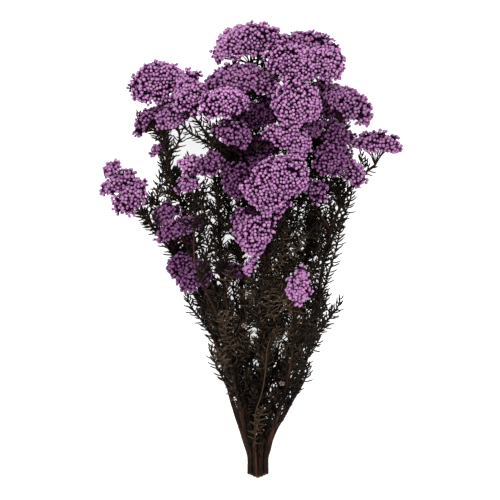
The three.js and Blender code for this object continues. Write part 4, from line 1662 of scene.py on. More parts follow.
def repeat_faces(faces: Array, bodies: int, points_each: int) -> Array:
    """The faces of a body, repeated for a number of such bodies."""
    offsets = np.arange(bodies)[:, None, None] * points_each
    return (faces[None] + offsets).reshape(-1, faces.shape[1])


def ring_angles(sides: int) -> Array:
    """The angles of the points of an even ring."""
    return np.arange(sides) * 2 * math.pi / sides


def band_faces(rings: int, sides: int) -> Array:
    """Makes the quads between rings of points that follow each other.

    Args:
        rings: The number of rings.
        sides: The number of points in each.

    Returns:
        The quads.
    """
    ring, side = np.meshgrid(np.arange(rings - 1), np.arange(sides), indexing="ij")
    a, b = ring * sides + side, ring * sides + (side + 1) % sides
    return np.stack([a, b, b + sides, a + sides], axis=-1).reshape(-1, 4)


def fan_faces(tip: int, ring: int, sides: int, flip: bool) -> Array:
    """Makes the triangles that close a ring with one point.

    Args:
        tip: The number of that point.
        ring: The number of the ring's first point.
        sides: The number of points in the ring.
        flip: Whether the triangles face the other way.

    Returns:
        The triangles.
    """
    side = np.arange(sides)
    a, b = ring + side, ring + (side + 1) % sides
    tips = np.full(sides, tip)
    return np.stack([b, a, tips] if flip else [a, b, tips], axis=-1)


@dataclass
class FineTubes:
    """Many thin curved stalks at once, each from a start, over a bend, to an end."""

    starts: Array
    bends: Array
    ends: Array
    root: float
    tip: float
    sides: int = 5
    rings: int = 4
    grain: tuple[float, float, float] = (1.0, 0.15, 1.0)
    palest: float = 0.3

    def add_to(self, draft: MeshDraft, slot: int, rng: Draw) -> None:
        """Adds the stalks to a draft.

        Args:
            draft: The draft.
            slot: The number of their finish.
            rng: The seeded draw for their marks.
        """
        count = len(self.starts)
        if not count:
            return
        t = np.linspace(0, 1, self.rings)[None, :, None]
        path = (self.starts[:, None] * (1 - t) ** 2 + 2 * self.bends[:, None] * t * (1 - t)
                + self.ends[:, None] * t**2)
        side, other = cross_ways(unit(self.ends - self.starts))
        ring = towards(side[:, None], other[:, None], ring_angles(self.sides))
        radius = mix(self.root, self.tip, np.linspace(0, 1, self.rings))[None, :, None, None]
        points = (path[:, :, None] + ring[:, None] * radius).reshape(-1, 3)
        each = self.rings * self.sides
        faces = repeat_faces(band_faces(self.rings, self.sides), count, each)
        tone = np.repeat(self.palest * rng.random(count), each)
        draft.add(points, [faces], slot, tone=tone, grain=points * np.array(self.grain))


@dataclass
class BudShape:
    """The form of one closed bud: a round bead, a little taller than wide, with a blunt crown."""

    sides: int = 6
    rings: int = 4
    tall: float = 1.06
    bracts: float = 5.0
    rows: float = 3.0

    def form(self) -> tuple[Array, list[Array], Array, Array]:
        """Works out the unit bud.

        Returns:
            Its points, its faces, the rise of each point, and its place in the rows of bracts.
        """
        polar = (np.arange(self.rings) + 1) * math.pi / (self.rings + 1)
        angle = ring_angles(self.sides)
        height = np.cos(polar) * self.tall
        rows = [
            np.column_stack([
                np.sin(p) * np.cos(angle), np.sin(p) * np.sin(angle), np.full(self.sides, h)])
            for p, h in zip(polar, height)]
        points = np.vstack([*rows, [[0, 0, self.tall]], [[0, 0, -self.tall]]])
        top, bottom = self.rings * self.sides, self.rings * self.sides + 1
        faces = [
            band_faces(self.rings, self.sides)[:, ::-1],
            np.vstack([
                fan_faces(top, 0, self.sides, flip=False),
                fan_faces(bottom, (self.rings - 1) * self.sides, self.sides, flip=True)])]
        rise = (points[:, 2] / self.tall + 1) / 2
        turn = np.arctan2(points[:, 1], points[:, 0]) / (2 * math.pi) + 0.5
        scales = np.column_stack([turn * self.bracts, rise * self.rows, np.zeros(len(points))])
        return points, faces, rise, scales


@dataclass
class BudCrowd:
    """Many buds at once, each with its own place, way, size and tone."""

    places: Array
    ways: Array
    radii: Array
    tones: Array
    dim: Array
    # dye is the head's painted shade, 1 for none
    dye: float = 1.0
    shape: BudShape = field(default_factory=BudShape)
    uneven: float = 0.1

    def add_to(self, draft: MeshDraft, slot: int, rng: Draw) -> None:
        """Adds the buds to a draft.

        Args:
            draft: The draft.
            slot: The number of their finish.
            rng: The seeded draw for how each is turned and squeezed.
        """
        count = len(self.places)
        points, faces, rise, scales = self.shape.form()
        spin = rng.random(count) * 2 * math.pi
        turned = towards(*cross_ways(self.ways), spin)
        across = np.cross(self.ways, turned)
        squeeze = 1 + self.uneven * (rng.random((count, 3)) - 0.5)
        sizes = (self.radii[:, None] * squeeze)[..., None]
        frames = np.stack([turned, across, self.ways], axis=1) * sizes
        placed = self.places[:, None] + np.einsum("pk,nkc->npc", points, frames)
        each = len(points)
        dimmed = np.clip(rise[None] * self.dim[:, None], 0, 1)
        draft.add(
            placed.reshape(-1, 3), [repeat_faces(group, count, each) for group in faces], slot,
            tone=np.repeat(self.tones, each), rise=dimmed.ravel(),
            dye=np.full(count * each, self.dye), scales=np.tile(scales, (count, 1)))


# Flower heads


# how far the buds of these heads stand out, in mm, to give each its own size
GROWN = {
    "head_low_front": -1.4, "head_low_small": -1.8, "head_left_big": 2.6,
    "head_far_right": 1.6, "head_shoulder_left": 1.4}


@dataclass
class FlowerHead:
    """One flower head: domes of single buds over a dark felt of stalks in painted shade, in mm and
    shares.
    """

    head: Head
    seed: int
    bud_radius: float = 1.68
    bud_gap: float = 2.7
    least_bud: float = 0.86
    more_bud: float = 0.26
    least_in_dome: float = 0.94
    more_in_dome: float = 0.12
    dome_turn: float = 1.7
    uneven_lift: float = 0.5
    uneven_way: float = 0.5
    sunk: float = 0.2
    cluster_tone: float = 0.45
    valley_light: float = 0.62
    crest_light: float = 0.4
    filler_gap: float = 3.1
    filler_depth: float = -0.4
    filler_dim: float = 0.36
    filler_tone: float = 0.6
    tries: int = 18
    lump: float = 4.2
    lump_turn: float = 0.618
    lump_phase: float = 0.37
    valley: float = 2.8
    grown: float = 0.6
    crest_share: float = 0.75
    felt_sides: int = 22
    felt_rings: tuple[float, ...] = (14, 32, 50, 68, 84, 96)
    felt_depth: float = 0.6
    felt_uneven: float = 0.8
    felt_back: float = 0.55
    draft: MeshDraft = field(default_factory=MeshDraft)
    rng: Draw = field(init=False)

    def __post_init__(self) -> None:
        """Starts the seeded draw."""
        self.rng = np.random.default_rng(self.seed)

    def build(self, buds: Material, felt: Material) -> Object:
        """Builds the head, dresses it, and sets it in place of its solid.

        Args:
            buds: The finish of its buds.
            felt: The finish of what lies between and under them.

        Returns:
            The piece.
        """
        for dome in self.head.domes:
            self._add_buds(dome)
            self._add_felt(dome)
        piece = self.draft.build(f"buds_of_{self.head.name}", [buds, felt])
        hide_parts(self.head.name)
        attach(piece, "root")
        return piece

    def _scatter(self, dome: Dome, lift: float, gap: float) -> tuple[Array, Array, Array]:
        """Spots on a dome, none nearer to another than the gap.

        Args:
            dome: The dome.
            lift: Their height above its form, in mm.
            gap: The least distance between two, in mm.

        Returns:
            Their polar angles, turns and places.
        """
        count = int(self.tries * dome.area() / gap**2)
        polar = np.arccos(1 - self.rng.random(count) * (1 - math.cos(HEAD.rim)))
        turn = self.rng.random(count) * 2 * math.pi
        places = dome.point(polar, turn, lift)
        kept = np.zeros((count, 3))
        chosen: list[int] = []
        for k, place in enumerate(places):
            held = kept[:len(chosen)]
            if chosen and ((held - place) ** 2).sum(axis=1).min() < gap * gap:
                continue
            kept[len(chosen)] = place
            chosen.append(k)
        return polar[chosen], turn[chosen], places[chosen]

    def _relief(self, dome: Dome, places: Array) -> tuple[Array, Array]:
        """How far the clusters of the solid stand out at places.

        Args:
            dome: The dome.
            places: Points on it, in mm.

        Returns:
            0 in a valley to 1 on a crest, and the number of the nearest cluster.
        """
        polar, turn = dome.cluster_spots()
        crests = dome.point(polar, turn, 0.0)
        apart = np.linalg.norm(places[:, None] - crests[None], axis=2)
        nearest = apart.argmin(axis=1)
        apart = np.sort(apart, axis=1)
        pitch = math.sqrt(HEAD.cluster_cell)
        return smooth((apart[:, 1] - apart[:, 0]) / (self.crest_share * pitch)), nearest

    def _add_buds(self, dome: Dome) -> None:
        """Adds the outer buds and those that fill the gaps below them.

        Args:
            dome: The dome.
        """
        own_share = (dome.phase * self.dome_turn) % 1.0
        size = self.bud_radius * (self.least_in_dome + self.more_in_dome * own_share)
        # the head's painted shade, darker for heads deep in the bunch
        dye = self.head.dye()
        polar, turn, flat = self._scatter(dome, 0.0, self.bud_gap)
        relief, cluster = self._relief(dome, flat)
        casts = self.rng.random(cluster.max() + 1)
        lift = self._lift(dome, relief, cluster)
        lift = lift + self.uneven_lift * (self.rng.random(len(polar)) - 0.5)
        places = dome.point(polar, turn, lift - self.sunk * size)
        ways = unit(dome.point(polar, turn, lift + 1) - dome.point(polar, turn, lift))
        ways = unit(ways + self.uneven_way * (self.rng.random(ways.shape) - 0.5))
        radii = size * (self.least_bud + self.more_bud * self.rng.random(len(polar)))
        tones = mix(self.rng.random(len(polar)), casts[cluster], self.cluster_tone)
        dim = self.valley_light + self.crest_light * relief
        BudCrowd(places, ways, radii, tones, dim, dye).add_to(self.draft, 0, self.rng)
        polar, turn, flat = self._scatter(dome, -self.filler_depth, self.filler_gap)
        lift = self._lift(dome, *self._relief(dome, flat))
        places = dome.point(polar, turn, lift - HEAD.lift - self.filler_depth - size)
        ways = unit(dome.point(polar, turn, 1.0) - dome.point(polar, turn, 0.0))
        tones = self.filler_tone * self.rng.random(len(polar))
        dim, radii = np.full(len(polar), self.filler_dim), np.full(len(polar), size)
        plain = BudShape(sides=5, rings=3)
        BudCrowd(places, ways, radii, tones, dim, dye, plain).add_to(self.draft, 0, self.rng)

    def _add_felt(self, dome: Dome) -> None:
        """Adds the dark body under the buds, painted as the shade inside the head, with a shallow
        cone for its back.

        Args:
            dome: The dome.
        """
        polar, turn = np.radians(self.felt_rings), ring_angles(self.felt_sides)
        around, down = np.tile(turn, len(polar)), np.repeat(polar, self.felt_sides)
        lift = self._lift(dome, *self._relief(dome, dome.point(down, around, 0.0)))
        deep = np.reshape(lift - HEAD.lift - self.felt_depth, (len(polar), self.felt_sides))
        deep = deep + self.felt_uneven * (self.rng.random(deep.shape) - 0.5)
        outer = dome.point(np.repeat(polar[:, None], self.felt_sides, 1), turn[None], deep)
        back = dome.back(self.felt_back)
        inner = mix(back, outer[-1], self.felt_back)
        top = dome.point(np.array([0.0]), np.array([0.0]), -self.felt_depth)
        points = np.vstack([outer.reshape(-1, 3), inner, top, back[None]])
        rings = len(polar) + 1
        total = rings * self.felt_sides
        faces = [
            band_faces(rings, self.felt_sides)[:, ::-1],
            np.vstack([
                fan_faces(total, 0, self.felt_sides, flip=False),
                fan_faces(total + 1, total - self.felt_sides, self.felt_sides, flip=True)])]
        self.draft.add(points, faces, 1)

    def _lift(self, dome: Dome, relief: Array, cluster: Array) -> Array:
        """How high the buds stand above the dome's form, in mm.

        Args:
            dome: The dome.
            relief: 0 in a valley to 1 on a crest.
            cluster: The number of the nearest cluster.

        Returns:
            A height for each place: clusters differ, and the valleys between them are deep.
        """
        order = np.arange(cluster.max() + 1)
        turns = order * self.lump_turn + dome.phase * self.lump_phase
        lumps = self.lump * (np.modf(turns)[0] - 0.5)
        height = -self.valley + (HEAD.lift + self.valley + lumps[cluster]) * relief
        return height + GROWN.get(self.head.name, self.grown)


# Leafy stems


@dataclass
class NeedleSizes:
    """The needle leaves of a stem, in mm, degrees and shares."""

    step: float = 1.4
    length: float = 9.6
    least_length: float = 0.8
    more_length: float = 0.32
    width: float = 0.95
    thick: float = 0.6
    stations: tuple[float, ...] = (0.0, 0.35, 0.75, 1.0)
    widths: tuple[float, ...] = (0.6, 1.0, 0.85)
    heights: tuple[float, ...] = (0.8, 1.0, 0.8)
    sway: float = 0.2
    head_room: float = 0.2
    lowest: float = 0.9
    rooted: float = 0.7
    first_y: float = -216.0
    full_y: float = -178.0
    bare_edge_y: float = -132.0
    bare_edge: float = 7.0
    bare_out: float = 0.1
    bare_foot: float = 4.0
    bare_under_head: float = 4.0
    bare_tip: float = 0.5
    uneven_turn: float = 0.6
    out_low: float = 50.0
    out_high: float = 74.0
    curl_low: float = 14.0
    curl_high: float = 40.0
    lean_low_down: float = 0.78
    upright_y: float = -120.0
    upright_span: float = 110.0
    young: float = 14.0
    young_length: float = 0.55
    young_lean: float = 0.45
    far_tip: float = 99.0
    dead_lean: float = 20.0
    dead_curl: float = -0.4
    dead_tone: float = 0.7
    live_tone: float = 0.66
    tone_power: float = 1.6


@dataclass
class TwigSizes:
    """The small leafy twigs beside the lines, in mm, degrees and shares."""

    pitch: float = 17.0
    pitch_in_crown: float = 13.0
    crown_y: float = 30.0
    first_y: float = -180.0
    short: float = 20.0
    long: float = 38.0
    open: float = 36.0
    least_open: float = 0.7
    more_open: float = 0.6
    leaving: float = 0.35
    arriving: float = 0.3
    steps: int = 5
    end_gap: float = 3.0
    above_floor: float = 3.0
    room: float = 1.5
    beyond_edge: float = -3.0
    flatness: float = 0.45
    dead_share: float = 0.06
    dead_share_inside: float = 0.3
    dead_spot: tuple[float, float, float] = (18.0, -75.0, 45.0)
    dead_reach: float = 75.0
    open_spot: tuple[float, float] = (-52.0, 97.0)
    open_reach: float = 34.0
    fade: float = 0.4
    fade_wide: tuple[float, float] = (0.6, 1.0)
    fade_from: float = 35.0
    fade_rise: float = 30.0
    fade_edge: float = 1.4
    tries: int = 5


@dataclass(frozen=True)
class BareSpan:
    """A stretch of a main stem without leaves, and without its outer skin lower down, in mm."""

    low: float
    high: float
    skinned_below: float
    fade: float = 25.0
    redness: float = 0.4
    thin: float = 0.6
    few: float = 0.1


NO_SPAN = BareSpan(0.0, 0.0, 0.0)
BARE_SPANS = {"leafy_stem_low_left": BareSpan(-76.0, 44.0, -26.0)}
TUFTS = {"leafy_stem_front": [(-4.5, -75.0)], "leafy_stem_low_right": [(33.5, -133.0)]}


@dataclass
class TuftSizes:
    """A tiny cluster of buds that never opened or took the dye, in mm and shares."""

    buds: int = 11
    radius: float = 0.85
    least_bud: float = 0.8
    more_bud: float = 0.4
    cap: float = 1.1
    spread: float = 2.4
    form: tuple[float, float, float] = (1.0, 0.8, 0.5)
    stand: float = 6.0
    stalk: float = 0.4
    stalk_tip: float = 0.7
    search: int = 60


@dataclass
class WoodSizes:
    """The bark of a line, in mm and shares, and the number of its sides."""

    sides: dict[LineKind, int] = field(default_factory=lambda: {
        LineKind.STEM: 11, LineKind.BRANCH: 7, LineKind.SHOOT: 7, LineKind.TWIG: 5})
    ring_step: float = 4.0
    fewest: int = 4
    knobby: float = 0.09
    thin_tip: float = 0.35
    grain_starts: float = 40.0
    grain_along: float = 0.12
    old_pale: float = 0.4
    uneven: float = 2.4
    worn_edge: float = 0.8
    worn_share: float = 0.3


@dataclass
class StalkSizes:
    """The fine forking stalks under a dome, in mm, degrees and shares."""

    count: int = 8
    forks: int = 3
    sunk: float = 2.5
    rim: float = 94.0
    back: float = 0.5
    inmost: float = 0.6
    spread: float = 0.82
    root_drop: float = 0.8
    knee: float = 0.45
    bow: float = 0.2
    radii: tuple[float, float] = (0.62, 0.42)
    fork_at: float = 0.45
    fork_turn: float = 0.9
    fork_spread: float = 0.5
    fork_middle: float = 0.4
    fork_ends: tuple[float, float] = (0.08, 0.97)
    fork_sag: float = 0.6
    fork_radii: tuple[float, float] = (0.36, 0.26)


@dataclass
class LeafyStem:
    """One stem with its branches, shoots, fine stalks and needle leaves."""

    name: str
    number: int
    plan: BunchPlan
    seed: int
    needles: NeedleSizes = field(default_factory=NeedleSizes)
    twigs: TwigSizes = field(default_factory=TwigSizes)
    tufts: TuftSizes = field(default_factory=TuftSizes)
    wood: WoodSizes = field(default_factory=WoodSizes)
    stalks: StalkSizes = field(default_factory=StalkSizes)
    draft: MeshDraft = field(default_factory=MeshDraft)
    rng: Draw = field(init=False)

    def __post_init__(self) -> None:
        """Starts the seeded draw."""
        self.rng = np.random.default_rng(self.seed)

    def build(self, bark: Material, leaf: Material, pale: Material) -> Object:
        """Builds the stem, dresses it, and sets it in place of its solid.

        Args:
            bark: The finish of its wood.
            leaf: The finish of its needles.
            pale: The finish of buds that the dye missed.

        Returns:
            The piece.
        """
        for line in self.plan.lines:
            if line.stem != self.number:
                continue
            curve = SmoothLine.through(line.points)
            self._add_wood(line, curve)
            self._add_needles(line, curve, line.leafing is Leafing.DEAD)
            for twig in self._lay_twigs(line, curve):
                along = SmoothLine.through(twig.points)
                self._add_wood(twig, along)
                self._add_needles(twig, along, self.rng.random() < self._dead_share(twig))
        for head in self.plan.heads:
            if head.stem == self.number:
                self._add_stalks(head)
        for x, y in TUFTS.get(self.name, []):
            self._add_tuft(np.array([x, y]))
        piece = self.draft.build(f"wood_and_needles_of_{self.name}", [bark, leaf, pale])
        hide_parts(self.name)
        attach(piece, "root")
        return piece

    def _add_tuft(self, spot: Array) -> None:
        """Adds a tiny cluster of undyed buds on a fine stalk from the nearest line.

        Args:
            spot: Where it stands, seen from above, in mm.
        """
        size = self.tufts
        own = [line for line in self.plan.lines if line.stem == self.number]
        curves = [SmoothLine.through(line.points) for line in own]
        points = np.vstack([curve.spaced(size.search) for curve in curves])
        root = points[np.linalg.norm(points[:, :2] - spot, axis=1).argmin()]
        top = np.array([*spot, root[2] + size.stand])
        FineTubes(
            root[None], (root + top)[None] / 2 + UP, top[None] - UP, size.stalk,
            size.stalk * size.stalk_tip).add_to(self.draft, 0, self.rng)
        order = np.arange(size.buds)
        polar = np.arccos(1 - (order + 0.5) / size.buds * size.cap)
        turn = order * GOLDEN_ANGLE
        ways = np.column_stack([
            np.sin(polar) * np.cos(turn), np.sin(polar) * np.sin(turn), np.cos(polar)])
        places = top + ways * size.spread * np.array(size.form)
        radii = size.radius * (size.least_bud + size.more_bud * self.rng.random(size.buds))
        crowd = BudCrowd(places, ways, radii, self.rng.random(size.buds), np.ones(size.buds))
        crowd.add_to(self.draft, 2, self.rng)

    def _dead_share(self, twig: WoodyLine) -> float:
        """Says how likely a twig is dead: more so on top of the middle of the bunch.

        Args:
            twig: The twig.

        Returns:
            The chance, from 0 to 1.
        """
        size = self.twigs
        spot = np.array(size.dead_spot)
        near = np.linalg.norm((twig.points[0] - spot)[:2]) < size.dead_reach
        return size.dead_share_inside if near and twig.points[0][2] > spot[2] else size.dead_share

    def _faded(self, roots: Array) -> Array:
        """Says how much browner needles are on top of the middle, where light reached them.

        Args:
            roots: Where they grow.

        Returns:
            What each adds to its tone.
        """
        size = self.twigs
        spot = np.array(size.dead_spot)
        apart = np.linalg.norm((roots - spot)[:, :2] / np.array(size.fade_wide), axis=1)
        high = np.clip((roots[:, 2] - size.fade_from) / size.fade_rise, 0, 1)
        return size.fade * high * smooth(size.fade_edge - apart / size.dead_reach)

    def _is_bare(self, line: WoodyLine, heights: Array) -> Array:
        """Which places along a main stem have lost their leaves and outer skin."""
        span = BARE_SPANS.get(self.name, NO_SPAN)
        return (line.kind is LineKind.STEM) & (heights > span.low) & (heights < span.high)

    def _lay_twigs(self, line: WoodyLine, curve: SmoothLine) -> list[WoodyLine]:
        """Lays small leafy twigs beside a line, each turned to where it is clear of the heads.

        Args:
            line: The line that they grow from.
            curve: That line's smooth curve.

        Returns:
            The twigs that found room.
        """
        size = self.twigs
        found = []
        if line.leafing is not Leafing.FULL:
            return found
        along = size.pitch * self.rng.random()
        while along < curve.length - size.end_gap:
            root, way = curve.at(np.array([along]))[0], curve.ways(np.array([along]))[0]
            along += size.pitch if root[1] < size.crown_y else size.pitch_in_crown
            open_spot = math.dist(root[:2], size.open_spot) < size.open_reach
            if root[1] < size.first_y or open_spot or self._is_bare(line, root[1]):
                continue
            first = unit(np.cross(way, UP))
            second = np.cross(way, first)
            for _ in range(size.tries):
                turn = self.rng.random() * 2 * math.pi
                out = unit(math.cos(turn) * first + size.flatness * math.sin(turn) * second)
                length = mix(size.short, size.long, self.rng.random())
                opened = size.least_open + size.more_open * self.rng.random()
                opened = math.radians(size.open) * opened
                end = root + (way * math.cos(opened) + out * math.sin(opened)) * length
                leaving = root + unit(way + out) * length * size.leaving
                bent = SmoothLine.bent(root, leaving, end - way * length * size.arriving, end)
                points = bent.spaced(size.steps)
                left, right = self.plan.edges_at(points[:, 1])
                inside = points[:, 0] > left - size.beyond_edge
                inside = inside & (points[:, 0] < right + size.beyond_edge)
                high = points[:, 2].min() > size.above_floor
                if inside.all() and high and self.plan.is_clear(points[1:], size.room).all():
                    found.append(WoodyLine(LineKind.TWIG, line.stem, points, 1))
                    break
        return found

    def _frames(self, ways: Array) -> tuple[Array, Array]:
        """Finds two ways across a line at each of its rings, without twist.

        Args:
            ways: The ways that the line runs.

        Returns:
            The first and the second way at each ring.
        """
        side = np.zeros_like(ways)
        held = unit(np.cross(ways[0], UP))
        for k, way in enumerate(ways):
            held = unit(held - way * np.dot(held, way))
            side[k] = held
        return side, np.cross(ways, side)

    def _add_wood(self, line: WoodyLine, curve: SmoothLine) -> None:
        """Adds the bark of one line, knobby where leaves have been, with a worn cut foot.

        Args:
            line: The line.
            curve: Its smooth curve.
        """
        size = self.wood
        sides = size.sides[line.kind]
        count = max(size.fewest, int(curve.length / size.ring_step))
        along = np.linspace(0, curve.length, count + 1)
        centre, ways = curve.at(along), curve.ways(along)
        if line.kind is LineKind.STEM:
            centre[0, 1] = END.y + size.uneven * abs(STEMS[line.stem].column)
        side, other = self._frames(ways)
        angle = ring_angles(sides)
        knobs = 1 + size.knobby * (self.rng.random((count + 1, sides)) - 0.5)
        radius = line.radius(along / curve.length)[:, None] * knobs
        if line.dome is None:
            radius[-1] *= size.thin_tip
        radius = np.where(self._is_bare(line, centre[:, 1:2]), radius * NO_SPAN.thin, radius)
        ring = towards(side[:, None], other[:, None], angle)
        points = (centre[:, None] + ring * radius[..., None]).reshape(-1, 3)
        start = self.rng.random() * size.grain_starts
        turned = np.stack([np.cos(angle), np.sin(angle)], axis=1) * line.size().root
        grain = np.concatenate([
            np.tile(turned[None], (count + 1, 1, 1)) + start,
            np.repeat((along * size.grain_along + start)[:, None], sides, 1)[..., None]], axis=2)
        span = BARE_SPANS.get(self.name, NO_SPAN)
        skinned = np.clip((span.skinned_below - centre[:, 1]) / span.fade, 0, 1)
        flaked = np.repeat(span.redness * skinned * self._is_bare(line, centre[:, 1]), sides)
        self.draft.add(
            points, [band_faces(count + 1, sides)], 0, tone=flaked, grain=grain.reshape(-1, 3),
            rise=np.full(len(points), size.old_pale * (line.leafing is not Leafing.FULL)))
        for at, flip in ((0, True), (count, False)):
            rim = points[at * sides:(at + 1) * sides]
            worn = mix(rim, centre[at], size.worn_share) - ways[0] * size.worn_edge * (at == 0)
            cap = np.vstack([rim, worn, worn.mean(axis=0)[None]])
            faces = [band_faces(2, sides), fan_faces(2 * sides, sides, sides, flip=False)]
            if flip:
                faces = [group[:, ::-1] for group in faces]
            pale = float(line.kind is LineKind.STEM and at == 0)
            self.draft.add(cap, faces, 0, rise=np.full(len(cap), pale), grain=cap)

    def _add_stalks(self, head: Head) -> None:
        """Adds the fan of fine stalks from each hub to the back of its dome.

        Args:
            head: The head.
        """
        size = self.stalks
        for dome in head.domes:
            own = any(line.dome is dome for line in self.plan.lines)
            hub = dome.hub() if own else head.domes[0].hub()
            count = size.count if own else size.count // 2
            turn = np.arange(count) * GOLDEN_ANGLE + dome.phase
            spread = np.sqrt((np.arange(count) + size.inmost) / count) * size.spread
            back, rim_angle = dome.back(size.back), math.radians(size.rim)
            rim = dome.point(np.full(count, rim_angle), turn, -self.needles.thick - size.sunk)
            ends = mix(back, rim, spread[:, None])
            starts = np.tile(hub - dome.axis * size.root_drop, (count, 1))
            reach = np.linalg.norm(ends - starts, axis=1)[:, None]
            bends = mix(starts, ends, size.knee) + dome.axis * size.bow * reach
            FineTubes(starts, bends, ends, *size.radii).add_to(self.draft, 0, self.rng)
            part = size.fork_at
            forks = starts * (1 - part) ** 2 + 2 * bends * part * (1 - part) + ends * part**2
            forks = np.repeat(forks, size.forks, axis=0)
            swing = size.fork_turn * (self.rng.random(len(forks)) - 0.5)
            swing = np.repeat(turn, size.forks) + swing
            far = size.fork_spread * (self.rng.random(len(forks)) - size.fork_middle)
            far = np.clip(np.repeat(spread, size.forks) + far, *size.fork_ends)
            rims = dome.point(np.full(len(forks), rim_angle), swing, -size.sunk)
            tips = mix(back, rims, far[:, None])
            knees = mix(forks, tips, 0.5) - dome.axis * size.fork_sag
            fine = FineTubes(forks, knees, tips, *size.fork_radii, sides=4, rings=3)
            fine.add_to(self.draft, 0, self.rng)

    def _add_needles(self, line: WoodyLine, curve: SmoothLine, dead: bool) -> None:
        """Adds the needles of one line, spread round it by the golden angle.

        Args:
            line: The line.
            curve: Its smooth curve.
            dead: Whether they are brown and droop.
        """
        if line.leafing is Leafing.NONE:
            return
        size = self.needles
        bare = size.bare_under_head if line.dome is not None else size.bare_tip
        along = np.arange(size.bare_foot, curve.length - bare, size.step)
        along = along + size.step * (self.rng.random(len(along)) - 0.5)
        roots, ways = curve.at(along), curve.ways(along)
        first = unit(np.cross(ways, UP))
        second = np.cross(ways, first)
        turn = np.arange(len(along)) * GOLDEN_ANGLE + size.uneven_turn * self.rng.random(len(along))
        out = towards(first, second, turn)
        leafy = (roots[:, 1] - size.first_y) / (size.full_y - size.first_y)
        leafy = np.where(self._is_bare(line, roots[:, 1]), NO_SPAN.few, leafy)
        kept = (self.rng.random(len(along)) < np.clip(leafy, 0, 1)) & ~self._on_bare_edge(roots, out)
        along, roots, ways, out = along[kept], roots[kept], ways[kept], out[kept]
        if not len(along):
            return
        roots = roots + out * (line.radius(along / curve.length) * size.rooted)[:, None]
        reach = size.length * (size.least_length + size.more_length * self.rng.random(len(along)))
        left = (curve.length - along) if line.dome is None else np.full(len(along), size.far_tip)
        young = np.clip(left / size.young, 0, 1)
        reach = reach * (size.young_length + (1 - size.young_length) * young)
        lean = np.radians(mix(size.out_low, size.out_high, self.rng.random(len(along))))
        lean = lean * (size.young_lean + (1 - size.young_lean) * young)
        curl = np.radians(mix(size.curl_low, size.curl_high, self.rng.random(len(along))))
        rising = smooth((roots[:, 1] - size.upright_y) / size.upright_span)
        lean = lean * mix(size.lean_low_down, 1.0, rising)
        tone = self.rng.random(len(along))
        if dead:
            lean, curl = lean + math.radians(size.dead_lean), size.dead_curl * curl
            tone = size.dead_tone + (1 - size.dead_tone) * tone
        else:
            tone = size.live_tone * tone**size.tone_power
        tone = np.minimum(tone + self._faded(roots), 1.0)
        self._add_blades(roots, ways, out, reach, lean, curl, tone)

    def _on_bare_edge(self, roots: Array, out: Array) -> Array:
        """Finds the needles that would stick out of the gathered lower part of the bunch.

        Args:
            roots: Where they grow.
            out: The ways out from the line.

        Returns:
            True for each that would.
        """
        size = self.needles
        left, right = self.plan.edges_at(roots[:, 1])
        left_side = (roots[:, 0] - left < size.bare_edge) & (out[:, 0] < -size.bare_out)
        right_side = (right - roots[:, 0] < size.bare_edge) & (out[:, 0] > size.bare_out)
        return (roots[:, 1] < size.bare_edge_y) & (left_side | right_side)

    def _add_blades(
        self, roots: Array, ways: Array, out: Array, reach: Array, lean: Array, curl: Array,
        tone: Array,
    ) -> None:
        """Adds needles as slim curved blades, less those that would run into a head.

        Args:
            roots: Where they grow.
            ways: The ways of the line there.
            out: The ways out from it.
            reach: Their lengths.
            lean: How far each leans out from the line at its root.
            curl: How far it bends back towards the line.
            tone: How brown each is.
        """
        size = self.needles
        shares = size.stations
        sway = size.sway * (self.rng.random(len(roots)) - 0.5)
        side = unit(np.cross(ways, out))
        centre = [roots]
        facing = []
        for k, share in enumerate(shares):
            angle = lean - curl * share
            way = unit(towards(ways, out, angle) + sway[:, None] * side)
            facing.append(unit(np.cross(side, way)))
            if k + 1 < len(shares):
                centre.append(centre[-1] + way * (reach * (shares[k + 1] - share))[:, None])
        path = np.stack(centre, axis=1)
        face = np.stack(facing, axis=1)
        kept = self.plan.is_clear(path[:, 1], size.head_room)
        kept = kept & self.plan.is_clear(path[:, 3], size.head_room)
        path, face, side, tone = path[kept], face[kept], side[kept], tone[kept]
        path[..., 2] = np.maximum(path[..., 2], size.lowest)
        count = len(path)
        if not count:
            return
        # a blade is three rings of three points and its tip
        sides = len(size.widths)
        each = sides * sides + 1
        wide = size.width * np.array(size.widths)
        thick = size.thick * np.array(size.heights)
        middle = path[:, :sides]
        rings = np.stack([
            middle + side[:, None] * wide[None, :, None],
            middle + face[:, :sides] * thick[None, :, None] * 2,
            middle - side[:, None] * wide[None, :, None]], axis=2)
        points = np.concatenate([rings.reshape(count, -1, 3), path[:, sides:]], axis=1)
        bands = repeat_faces(band_faces(sides, sides), count, each)
        closing = fan_faces(each - 1, each - 1 - sides, sides, flip=False)
        tips = repeat_faces(closing, count, each)
        self.draft.add(points.reshape(-1, 3), [bands, tips], 1, tone=np.repeat(tone, each))


# Studio


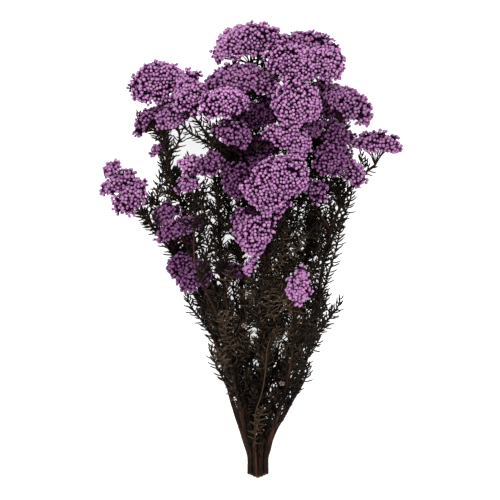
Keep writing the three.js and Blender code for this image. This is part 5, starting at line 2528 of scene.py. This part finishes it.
@dataclass
class Studio:
    """The floor, the lights and the camera, which looks straight down on the lying bunch.

    centre and level are in mm, as the bunch is, the other lengths in m and the powers in W.
    """

    centre: tuple[float, float] = (1.5, 1.0)
    level: float = 85.0
    distance: float = 6.0
    view_width: float = 0.5
    floor_half: float = 4.0
    sky: float = 0.72
    sensor: float = 36.0
    clip: float = 50.0
    key: float = 26.0
    key_place: tuple[float, float, float] = (-0.5, 1.1, 1.9)
    key_size: float = 1.1
    fill: float = 0.35
    fill_place: tuple[float, float, float] = (0.9, -0.6, 1.8)
    fill_size: float = 1.4

    def build(self, paper: Material) -> None:
        """Builds the stage, the lights and the camera.

        Args:
            paper: The floor's finish.
        """
        half = self.floor_half
        mesh = bpy.data.meshes.new("floor")
        corners = [(-half, -half, 0), (half, -half, 0), (half, half, 0), (-half, half, 0)]
        mesh.from_pydata(corners, [], [(0, 1, 2, 3)])
        mesh.materials.append(paper)
        floor = bpy.data.objects.new("floor", mesh)
        bpy.context.scene.collection.objects.link(floor)
        self._add_sky()
        self._add_light("key", self.key_place, self.key_size, self.key)
        self._add_light("fill", self.fill_place, self.fill_size, self.key * self.fill)
        self._add_camera()
        bpy.context.scene.view_settings.view_transform = "Standard"

    def _add_sky(self) -> None:
        """Gives the scene an even white surround."""
        world = bpy.data.worlds.new("soft_surround")
        world.use_nodes = True
        ground = world.node_tree.nodes["Background"]
        ground.inputs["Color"].default_value = (1, 1, 1, 1)
        ground.inputs["Strength"].default_value = self.sky
        bpy.context.scene.world = world

    def _add_light(
        self, name: str, place: tuple[float, float, float], size: float, power: float,
    ) -> None:
        """Adds one large soft light that faces the bunch.

        Args:
            name: Its name.
            place: Where it stands, in m.
            size: Its width, in m.
            power: Its power, in W.
        """
        lamp = bpy.data.lights.new(name, "AREA")
        lamp.shape = "DISK"
        lamp.size = size
        lamp.energy = power
        light = bpy.data.objects.new(name, lamp)
        light.location = place
        aim = -unit(np.array(place))
        light.rotation_euler = (
            math.acos(-aim[2]), 0.0, math.atan2(aim[1], aim[0]) - math.pi / 2)
        bpy.context.scene.collection.objects.link(light)

    def _add_camera(self) -> None:
        """Adds a long-lens camera straight above the middle of the view."""
        lens = bpy.data.cameras.new("camera")
        lens.sensor_width = self.sensor
        lens.lens = lens.sensor_width * self.distance / self.view_width
        lens.clip_end = self.clip
        camera = bpy.data.objects.new("camera", lens)
        camera.location = (
            self.centre[0] * MM, self.centre[1] * MM, self.distance + self.level * MM)
        bpy.context.scene.collection.objects.link(camera)
        bpy.context.scene.camera = camera


def report(piece: Object) -> None:
    """Logs a piece's name and number of triangles."""
    corners = len(piece.data.loops) - 2 * len(piece.data.polygons)
    LOG.info("%s: %d triangles", piece.name, corners)


def main() -> None:
    """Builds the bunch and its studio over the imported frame."""
    logging.basicConfig(level=logging.INFO, format="%(message)s")
    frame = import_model()
    LOG.info("%d solids in the frame", len(frame["nodes"]))
    Studio().build(StudioPaper().material())
    buds, felt = DyedBuds().material(), StalkFeltInShade().material()
    bark, leaf = WeatheredBark().material(), DriedNeedles().material()
    pale = UndyedBuds().material()
    plan = BunchPlan()
    plan.lay()
    for number, stem in enumerate(STEMS):
        leafy = LeafyStem(stem.name, number, plan, seed=STEM_SEED + number)
        report(leafy.build(bark, leaf, pale))
    for number, head in enumerate(plan.heads):
        report(FlowerHead(head, seed=HEAD_SEED + number).build(buds, felt))


if __name__ == "__main__":
    main()
